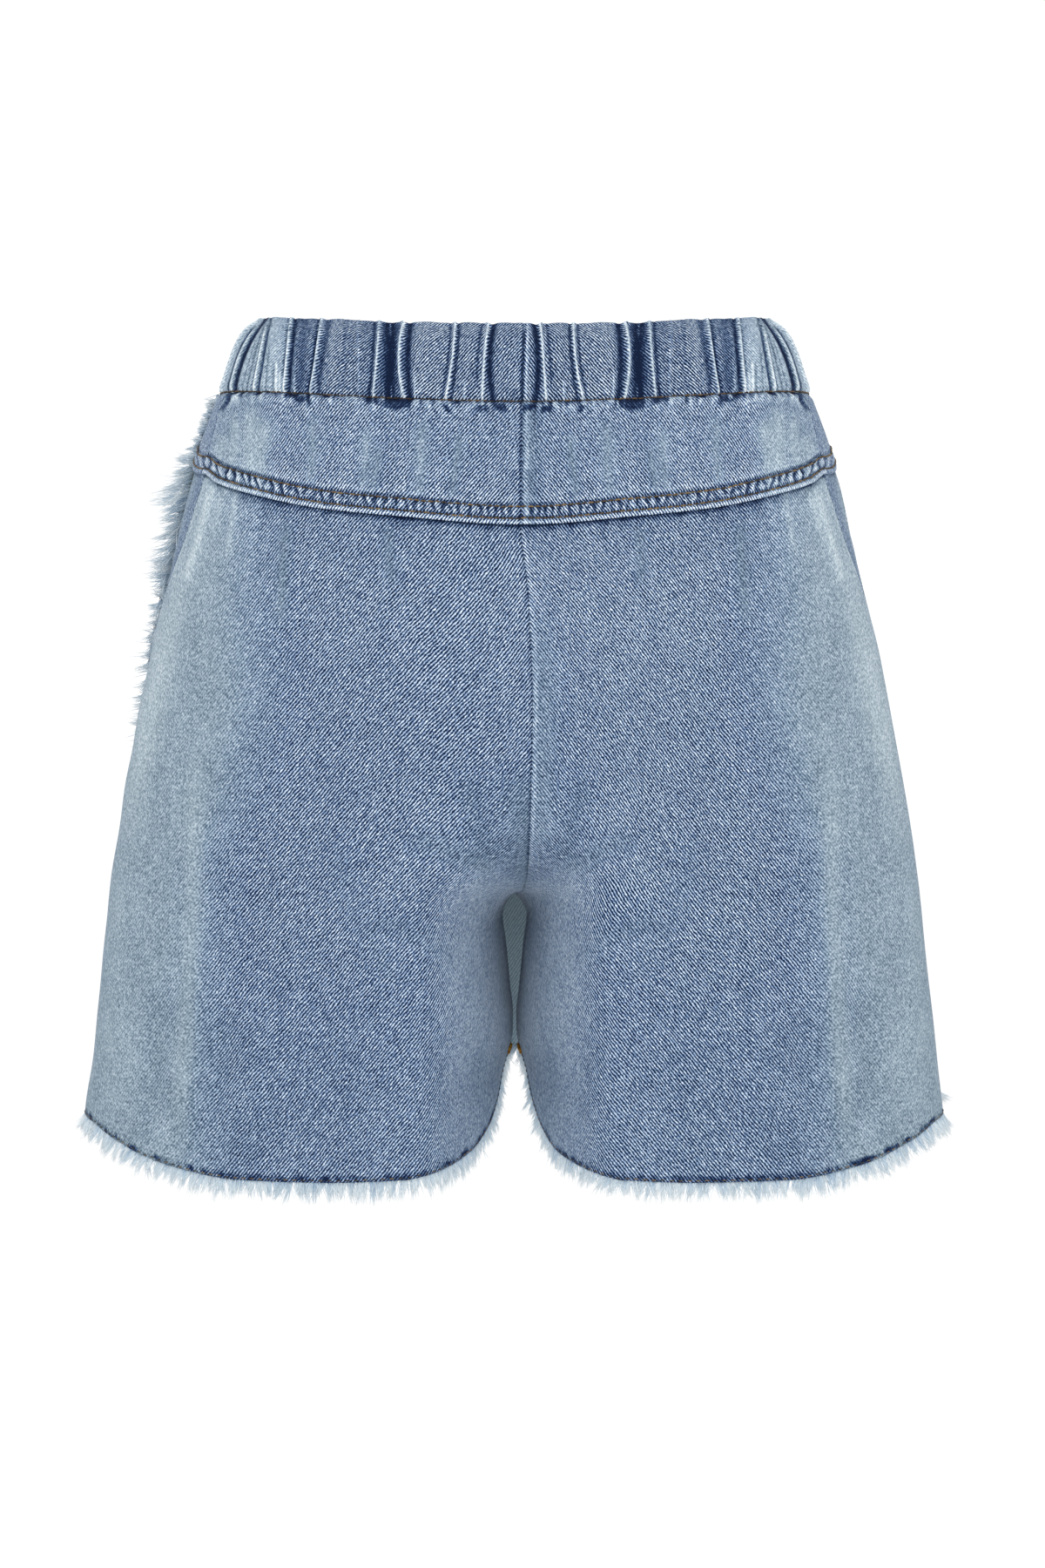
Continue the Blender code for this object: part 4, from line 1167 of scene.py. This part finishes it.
def centre_seam(tone, grain, height, from_centre, z, left):
    """Adds the centre back seam: a dark line on the left half, a pale ridge on the right one."""
    if left:
        above_crotch = slope(z, -255.0, 10.0)
        tone -= 0.16 * bell(from_centre - 0.4, SEAM_LINE) * above_crotch
        grain *= 1.0 - 0.6 * bell(from_centre, 14.0) * slope(z, -190.0, -25.0) * above_crotch
        return
    above_crotch = slope(z, -250.0, 15.0)
    strip = bell(from_centre - 5.0, 8.0) * slope(z, -245.0, 20.0) * slope(z, -100.0, -60.0)
    grain *= 1.0 - 0.5 * strip
    tone += 0.07 * strip + 0.16 * bell(from_centre - 1.5, 1.0) * above_crotch
    height += 0.55 * bell(from_centre - 1.2, 1.6) * above_crotch


def build_panel(half):
    """The cloth of a leg panel, with its points and normals."""
    front, left, sign = traits(half)
    seed = PANEL_SEED + HALVES.index(half)
    across, z = panel_rows(FRONT_COLUMNS if front else PANEL_COLUMNS, front)
    points = leg_point(across[None, :], z, front)
    facing = grid_normals(points, outward_leg(points, z))
    points[:, 0, 0] = np.maximum(points[:, 0, 0], SEAM_TOUCH)
    seat_fold = slope(z, TUCK_START - 8.0, -20.0) * slope(z, -322.0, 30.0)
    points = softened(points, ease(across / 0.14) * seat_fold)
    x = points[..., 0]
    below_yoke = yoke_edge(across, front) - z
    outer = ease((across / INNER - 0.35) / 0.4) * ease((z + 330.0) / 30.0 + across / INNER)
    rise, tone_change, calm = crease_effect(FRONT_CREASES if front else BACK_CREASES, x, z, seed)
    near_seam = ease(across / 0.05) * ease((1.0 - across) / 0.03)
    height = rise * outer + 0.5 * ripple(x, z, seed)
    height += 0.45 * ripple(x * 2.2, z * 0.4, seed * 2.0) * slope(z, -250.0, -100.0)
    height *= near_seam * ease(below_yoke / 10.0 + 0.2)
    wear = side_wear(x, z)
    rubbed = bell(half_width(z) - x - 8.0, 8.0) * bell(z + 165.0, 62.0)
    tone = leg_tone(x, z, below_yoke, wear) + tone_change * outer + 0.17 * rubbed
    thigh = slope(x, 50.0, -34.0) * slope(z, -222.0, -34.0)
    grain = (1.0 - PANEL_LOSS * wear) * (1.0 - 0.25 * thigh) * (1.0 - np.clip(calm, -0.4, 0.9))
    grain *= mix(1.0, 0.86, slope(z, -260.0, -90.0)) * (1.0 - rubbed)
    if not front:
        centre_seam(tone, grain, height, arc_lengths(points, 1), z, left)
    # Painted shadow under the yoke's edge, and unworn dark patches below it.
    patches, shadow_and_unworn_tone = yoke_shadow(x, below_yoke, seed)
    height += patches * near_seam
    tone += shadow_and_unworn_tone + seam_wear(points) * ease(below_yoke / 6.0)
    tone -= hem_specks(x, z - hem_edge(across, front), seed)
    if front:
        fresh_side = bell(from_side_seam(points), FRESH_WIDTH) * slope(z, -150.0, 30.0)
        tone = mix(tone, FRESH_PANEL[0], fresh_side)
        grain = mix(grain, FRESH_PANEL[1], fresh_side)
    weave = weave_from(points, int(np.argmin(np.abs(across - INNER))))
    points = points + facing * height[..., None]
    return finish_panel(half, points, weave, sign, tone, grain)


def hem_specks(x, above, seed):
    """Unfaded dark specks in the rolled edge of the hem."""
    chance = np.random.default_rng(seed + 80)
    tone = 0.08 * bell(above, 2.0)
    at = 0.0
    while at < 215.0:
        patch = bell(x - at, chance.uniform(0.5, 1.5))
        patch = patch * bell(above - chance.uniform(0.4, 2.0), chance.uniform(0.8, 1.7))
        tone += chance.uniform(0.15, 0.85) * patch
        at += chance.uniform(1.2, 3.4)
    return tone


def softened(points, amount):
    """Rounds the fold where the seat runs into the leg, where amount is above 0."""
    points = points.copy()
    for _ in range(SOFTENING):
        middle = 0.5 * (points[:-2] + points[2:])
        points[1:-1] += (middle - points[1:-1]) * 0.9 * amount[1:-1, :, None]
    return points


def outward_leg(points, z):
    """Which way is out of a left leg's cloth: off the body, and off the leg's own middle below."""
    centre = np.array([0.5, 0.0, 0.0]) * half_width(z)[..., None]
    return (points - centre * tuck(z)[..., None]) * LEVEL


def yoke_shadow(x, below, seed):
    """A painted shadow just under the yoke's edge, with unworn dark patches and small puckers below
    it.
    """
    chance = np.random.default_rng(seed + 40)
    below = np.clip(below, 0.0, None)
    height = np.zeros_like(x)
    # Painted shadow under the yoke's lapped edge.
    tone = -0.5 * fading(below, 0.8)
    at = 4.0
    while at < 160.0:
        size = chance.uniform(0.2, 1.0)
        width = chance.uniform(2.0, 4.5)
        patch = bell(x - at, width) * fading(below, chance.uniform(2.0, 4.5)) * size
        tone = tone - 0.42 * patch
        height -= 0.35 * patch
        at += chance.uniform(6.0, 13.0)
    return height, tone


def finish_panel(name, points, weave, sign, tone, grain):
    """Mirrors a left panel where it is the right one, and makes its shell."""
    mirror = np.array([sign, 1.0, 1.0])
    points = drifted(points * mirror)
    away = points * LEVEL
    if not name.startswith("yoke"):
        away = outward_leg(points * mirror, points[..., 2]) * mirror
    normals = grid_normals(points, away)
    return shell(f"{name}_cloth", points, normals, weave, tone, grain), points, normals


# ---------------- flap
FLAP_COLUMNS = 200
FLAP_ROWS = 170


def flap_columns():
    """Positions from the flap's sewn side to its free side, closing up towards the free side."""
    t = np.linspace(0.0, 1.0, FLAP_COLUMNS)
    return FLAP_END * mix(1.0 - (1.0 - t)**1.7, t, 0.45)


def build_flap():
    """The cloth of the wrap flap, with its points and normals."""
    level, share = np.meshgrid(np.linspace(0.0, 1.0, FLAP_ROWS), flap_columns(), indexing="ij")
    points, facing = flap_base(share, level)
    x = points[..., 0]
    z = points[..., 2]
    drop = BAND_BOTTOM - band_level(mix(FLAP_SEWN, FLAP_FREE, share)) - z
    rise, tone_change, calm = crease_effect(FLAP_CREASES, x, z, 31)
    fold_rise, fold_tone = gather_streaks(x + 150.0, drop, 55)
    hold = ease(share / 0.04) * ease((FLAP_END - share) / 0.02 + 0.25)
    height = (rise * 0.8 + 0.35 * ripple(x, z, 5.0)) * hold
    height += fold_rise * 0.6 - 1.6 * bell(drop, 1.4)
    wear = side_wear(np.abs(x), z)
    to_edge = np.minimum((1.0 - level) * flap_bottom(share), from_side_seam(points))
    # tone_change carries the drape folds' painted light and shade.
    tone = FLAP_TONE + FLAP_WEAR * wear + tone_change + np.clip(fold_tone, -FLAP_SHOWN, FLAP_SHOWN)
    # Paler near the free and lower edges, partly worn edge and partly painted light on the shaded
    # rim, with a darker line just inside it; the last term is painted shade just under the
    # waistband's edge.
    tone += 0.20 * bell(to_edge, 3.0) - 0.10 * bell(to_edge - 1.4, 0.8) - 0.2 * bell(drop, 1.6)
    grain = (1.0 - FLAP_LOSS * wear) * (1.0 - np.clip(calm, 0.0, 0.8))
    weave = weave_from(points)
    points = points + facing * height[..., None]
    normals = grid_normals(points, facing)
    return shell("flap_cloth", points, normals, weave, tone, grain), points, normals


# ---------------- stitching
STITCH_SIDES = 5
STITCH_SWAY = 0.09              # how far stitches stray from their line
# Rings of a stitch by share of its length, rise off the cloth and width, both in thread radii.
STITCH_RINGS = (
    (0.0, -0.5, 0.55), (0.12, 0.25, 0.95), (0.5, 0.62, 1.0), (0.88, 0.25, 0.95), (1.0, -0.5, 0.55),
)


def ring_faces(rings, sides):
    """Faces of a tube of rings, one after another."""
    corners = []
    for a in range((rings - 1) * sides):
        b = a + 1 if (a + 1) % sides else a + 1 - sides
        corners.append((a, b, b + sides, a + sides))
    return np.array(corners)


def repeated(faces, count, points):
    """The same faces for each of many pieces that have this number of points."""
    return (faces[None] + (np.arange(count) * points)[:, None, None]).reshape(-1, faces.shape[1])


def stitches(name, rows, material, seed, thread=THREAD, pitch=STITCH_PITCH, length=STITCH_LENGTH):
    """Rows of separate stitches, each an arched length of thread that dips into the cloth."""
    chance = np.random.default_rng(seed)
    share, lift, size = np.array(STITCH_RINGS).T[:, :, None, None]
    spokes = np.arange(STITCH_SIDES)[:, None] / STITCH_SIDES
    points = []
    shades = []
    for line, normals in rows:
        places, facing, along = resampled(line, normals, pitch)
        draws = [(chance.normal(0.0, STITCH_SWAY), chance.uniform(0.0, 1.0)) for _ in places[1:]]
        sway, shade = np.array(draws).T
        start, facing, along = (part[:-1, None, None] for part in (places, facing, along))
        step = np.diff(places, axis=0)[:, None, None] * (length / pitch)
        side = unit(np.cross(along, facing))
        centre = start + step * share + facing * lift * thread + side * sway[:, None, None, None]
        angle = 2 * math.pi * spokes
        ring = side * np.cos(angle) + facing * np.sin(angle)
        points.append((centre + ring * thread * size).reshape(-1, 3))
        shades.append(shade**1.5)
    shades = np.concatenate(shades)
    per = len(STITCH_RINGS) * STITCH_SIDES
    weave = [(ring[0] * length, spoke, 0.0) for ring in STITCH_RINGS for spoke in spokes[:, 0]]
    return mesh_object(
        name, np.concatenate(points),
        [repeated(ring_faces(len(STITCH_RINGS), STITCH_SIDES), len(shades), per)], (material,),
        {"weave": np.tile(weave, (len(shades), 1)), "tone": np.repeat(shades, per)},
    )


# ---------------- frayed edges
FIBRE_STEPS = (0.0, 0.38, 0.74)
FLAP_SIDE = 0.150               # share of the flap's edge that shows its long fringe


def fibre_mesh(name, roots, bends, tips, sizes, shades, seed):
    """Thin three-sided fibres, each bent once and drawn to a point, in one mesh."""
    chance = np.random.default_rng(seed)
    count = len(roots)
    way = unit(tips - roots)
    side = unit(np.cross(way, chance.normal(size=(count, 3))))
    other = np.cross(way, side)
    rings = []
    for t in FIBRE_STEPS:
        centre = roots * (1 - t)**2 + bends * 2 * t * (1 - t) + tips * t**2
        radius = mix(FIBRE_ROOT, FIBRE_TIP, t) * sizes
        for k in range(3):
            angle = 2 * math.pi * k / 3
            spoke = side * math.cos(angle) + other * math.sin(angle)
            rings.append(centre + spoke * radius[:, None])
    points = np.stack(rings + [tips], axis=1)
    per = points.shape[1]
    last = per - 4
    ends = np.array([(last + k, last + (k + 1) % 3, per - 1) for k in range(3)] + [(2, 1, 0)])
    faces = [repeated(part, count, per) for part in (ring_faces(len(FIBRE_STEPS), 3), ends)]
    along = np.tile(np.append(np.repeat(FIBRE_STEPS, 3), 1.0), count)
    attributes = {"along": along, "tone": np.repeat(shades, per)}
    return mesh_object(name, points.reshape(-1, 3), faces, (FRAY,), attributes)


def fray(name, line, outward, away, length_at, lean_at, seed, loft=1.0, depth=DENIM):
    """Tufts and loose threads along a cut edge.

    outward is the cloth's normal along the edge and away points off it.  length_at and
    lean_at are functions of the share of the way along the edge.  A larger loft fans the
    threads out more, off the cloth and towards it.  depth is how far under the cloth's face
    the threads start.
    """
    chance = np.random.default_rng(seed)
    lengths = arc_lengths(line, 0)
    total = lengths[-1]

    def at(places):
        places = np.clip(places, 0.0, total)
        found, out, off = (along_line(places, lengths, data) for data in (line, outward, away))
        return found, unit(out), unit(off)

    def spread(by_tuft, loose_values, deviation):
        """Values of the tufts' fibres and then of the loose ones, each a little off."""
        values = np.concatenate([by_tuft[which], loose_values])
        return values + chance.normal(0.0, deviation, len(values))

    tufts = int(total / TUFT_PITCH)
    centres = (np.arange(tufts) + chance.uniform(0.1, 0.9, tufts)) * TUFT_PITCH
    reach = chance.uniform(0.62, 1.08, tufts)
    skew = chance.normal(0.0, 0.30, tufts)
    lift = chance.normal(0.0, 0.16, tufts)
    shade = chance.uniform(0.1, 0.75, tufts)
    which = np.repeat(np.arange(tufts), TUFT_FIBRES)
    loose = int(total * LOOSE_FIBRES)
    offset = chance.normal(0.0, TUFT_SPREAD * 0.6, len(which))
    places = np.concatenate([centres[which] + offset, chance.uniform(0.0, total, loose)])
    closed = centres[which] + offset * chance.uniform(0.1, 0.75, len(which))
    tip_places = np.concatenate([closed, places[len(which):]])
    shares = np.clip(places / total, 0.0, 1.0)
    in_tufts = reach[which] * chance.uniform(0.55, 1.05, len(which))
    size = np.concatenate([in_tufts, chance.uniform(0.3, 1.0, loose)])
    tilt = spread(skew, chance.normal(0.0, 0.5, loose), 0.09)
    rise = spread(lift, chance.normal(0.0, 0.3, loose), 0.07) * loft
    root, root_out, root_away = at(places)
    tip_root, tip_out, tip_away = at(tip_places)
    along = unit(np.cross(root_out, root_away))
    lean, droop = lean_at(shares)
    length = ((length_at(shares) + FRINGE_ROOT) * size)[:, None]
    way = tip_away + tip_out * (lean + rise)[:, None] + along * tilt[:, None]
    way[:, 2] -= droop
    tips = tip_root + unit(way) * length
    roots = root - root_away * chance.uniform(0.1, 0.9, (len(places), 1))
    roots = roots - root_out * chance.uniform(0.0, depth, (len(places), 1))
    bends = mix(roots, tips, 0.45) + root_away * length * 0.14
    bends = bends + along * chance.normal(0.0, 0.07, (len(places), 1)) * length
    shades = spread(shade, chance.uniform(0.3, 0.9, loose), 0.1)
    sizes = chance.uniform(0.65, 1.25, len(places))
    return fibre_mesh(name, roots, bends, tips, sizes, shades, seed + 1)


def off_edge(line, inside):
    """Directions off a cut edge, from the edge and the line next to it inside the cloth."""
    along = unit(np.gradient(line, axis=0))
    inward = unit(inside - line)
    return unit(along * np.sum(inward * along, axis=-1, keepdims=True) - inward)


def hem_fringe_length(share):
    return np.full_like(share, HEM_FRINGE)


def hem_fringe_lean(share):
    """How far the threads stand off the cloth, and how far they hang."""
    return 0.05 + 0.2 * slope(share, 0.45, 0.3), np.full_like(share, 0.04)


def flap_fringe_length(share):
    side = slope(share, FLAP_SIDE, -0.035)
    top = mix(0.7, 0.06, ease(share / 0.008)) + 0.95 * slope(share, 0.028, 0.04)
    return mix(HEM_FRINGE, FLAP_FRINGE * top, side)


def flap_fringe_lean(share):
    side = slope(share, FLAP_SIDE, -0.045)
    return mix(0.1, 1.3, side), mix(0.05, 0.8, side)


# ---------------- the garment
trims = {}                      # threads and fringes that go with each cloth piece


def declare(piece, node):
    """Puts one cloth piece on the body and hides the CAD node that it replaces."""
    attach(piece, "root")
    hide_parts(node)


def trimming(piece, owner, node=None):
    """Puts a thread or fringe on the body, hides the CAD node it replaces if given, and files it
    with the owner's cloth.
    """
    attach(piece, "root")
    if node:
        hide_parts(node)
    trims.setdefault(owner, []).append(piece)


band, band_points, band_normals = build_waistband()
yokes = {}
panels = {}
for half in HALVES:
    yokes[half] = build_yoke(half)
    panels[half] = build_panel(half)
flap, flap_points, flap_normals = build_flap()

# Frayed edges
for number, (half, (_, points, normals)) in enumerate(panels.items()):
    line = points[-1] - normals[-1] * DENIM * 0.3
    away = off_edge(points[-1], points[-3])
    fringe = fray(f"fringe_{half}_threads", line, normals[-1], away,
                  hem_fringe_length, hem_fringe_lean, 60 + number)
    trimming(fringe, half, f"fringe_{half}")
flap_edge = np.concatenate([flap_points[:, -1], flap_points[-1, -2::-1]])
flap_inside = np.concatenate([flap_points[:-1, -4], flap_points[[-4], -4], flap_points[-4, -2::-1]])
flap_outward = np.concatenate([flap_normals[:, -3], flap_normals[-3, -2::-1]])
flap_away = off_edge(flap_edge, flap_inside)
fringe = fray("fringe_flap_threads", flap_edge, flap_outward, flap_away,
              flap_fringe_length, flap_fringe_lean, 71, FLAP_LOFT, FLAP_DEPTH)
trimming(fringe, "flap", "fringe_flap")

# Stitching
band_row = (mix(band_points[0], band_points[1], BAND_ROW), band_normals[1])
trimming(stitches("stitches_waistband", [band_row], BAND_THREAD, 81), "waistband")
for number, (half, (_, points, normals)) in enumerate(yokes.items()):
    rows = [row_above(points, normals, distance) for distance in (YOKE_ROW_LOW, YOKE_ROW_HIGH)]
    sewn = stitches(f"stitches_yoke_{half}", rows, BROWN_THREAD, 83 + number)
    trimming(sewn, f"yoke_{half}")
for number, (half, (_, points, normals)) in enumerate(panels.items()):
    rows = [row_above(points, normals, HEM_ROW)]
    sewn = stitches(f"stitches_hem_{half}", rows, BROWN_THREAD, 91 + number,
                    HEM_THREAD, HEM_PITCH, HEM_LENGTH)
    trimming(sewn, half)
    if half.startswith("back"):
        inner = np.s_[:, :TACK_COLUMNS]
        rows = [row_above(points[inner], normals[inner], level) for level in TACK_LEVELS]
        name = half.replace("back", "tack")
        sewn = stitches(name, rows, TACK_THREAD, 101 + number, TACK_SIZE, TACK_PITCH, TACK_PITCH)
        trimming(sewn, half)
flap_row = row_above(flap_points, flap_normals, FLAP_ROW)
trimming(stitches("stitches_flap", [flap_row], BROWN_THREAD, 97), "flap")

# Bodies and the CAD nodes that the cloths replace
declare(band, "waistband")
for half, (cloth, _, _) in yokes.items():
    declare(cloth, f"yoke_{half}")
for half, (cloth, _, _) in panels.items():
    declare(cloth, half)
declare(flap, "flap")


# ---------------- studio
LIGHT_SIZE = 1.8                # metres
LIT_POINT = (0.0, 0.0, -0.2)    # metres
PAPER = ((0.0, (250, 250, 250)), (1.0, (254, 254, 254)))


def area_light(name, place, power):
    """A soft square light that looks at the garment; place is in metres."""
    light = bpy.data.lights.new(name, "AREA")
    light.shape = "SQUARE"
    light.size = LIGHT_SIZE
    light.energy = power
    made = bpy.data.objects.new(name, light)
    bpy.context.scene.collection.objects.link(made)
    made.location = place
    x, y, z = np.array(LIT_POINT) - np.array(place)
    tilt = math.pi / 2 + math.atan2(z, math.hypot(x, y))
    made.rotation_euler = (tilt, 0.0, math.atan2(y, x) - math.pi / 2)


def build_studio():
    world = bpy.data.worlds.new("studio")
    world.use_nodes = True
    background = world.node_tree.nodes["Background"]
    background.inputs["Color"].default_value = (1.0, 1.0, 1.0, 1.0)
    background.inputs["Strength"].default_value = 1.05
    bpy.context.scene.world = world
    bpy.context.scene.view_settings.view_transform = "Standard"
    area_light("key", (0.5, 3.0, 1.5), 22.0)
    area_light("fill", (-1.2, 2.6, 0.3), 8.0)
    area_light("front_fill", (0.6, -2.8, 1.0), 20.0)
    corners = np.array([(-1, -1), (1, -1), (1, 1), (-1, 1)]) * FLOOR_REACH
    points = np.insert(corners, 2, FLOOR, axis=1)
    paper = Nodes("paper")
    material = paper.finish(paper.ramp(0.5, PAPER), CLOTH_ROUGHNESS)
    floor = mesh_object("floor", points, [np.array([(0, 1, 2, 3)])], (material,), {})


def build_camera():
    data = bpy.data.cameras.new("camera")
    data.sensor_width = SENSOR
    data.lens = SENSOR * CAMERA_DISTANCE / (FRAME_HEIGHT * MM_PER_PIXEL)
    data.clip_end = 100.0
    camera = bpy.data.objects.new("camera", data)
    bpy.context.scene.collection.objects.link(camera)
    sideways = (CENTRE_LINE - FRAME_CENTRE) * MM_PER_PIXEL
    height = TOP_HEIGHT - (FRAME_HEIGHT / 2 - TOP_LINE) * MM_PER_PIXEL
    camera.location = (sideways * METRE, CAMERA_DISTANCE * METRE, height * METRE)
    camera.rotation_euler = (math.pi / 2, 0.0, math.pi)
    bpy.context.scene.camera = camera


build_studio()
build_camera()
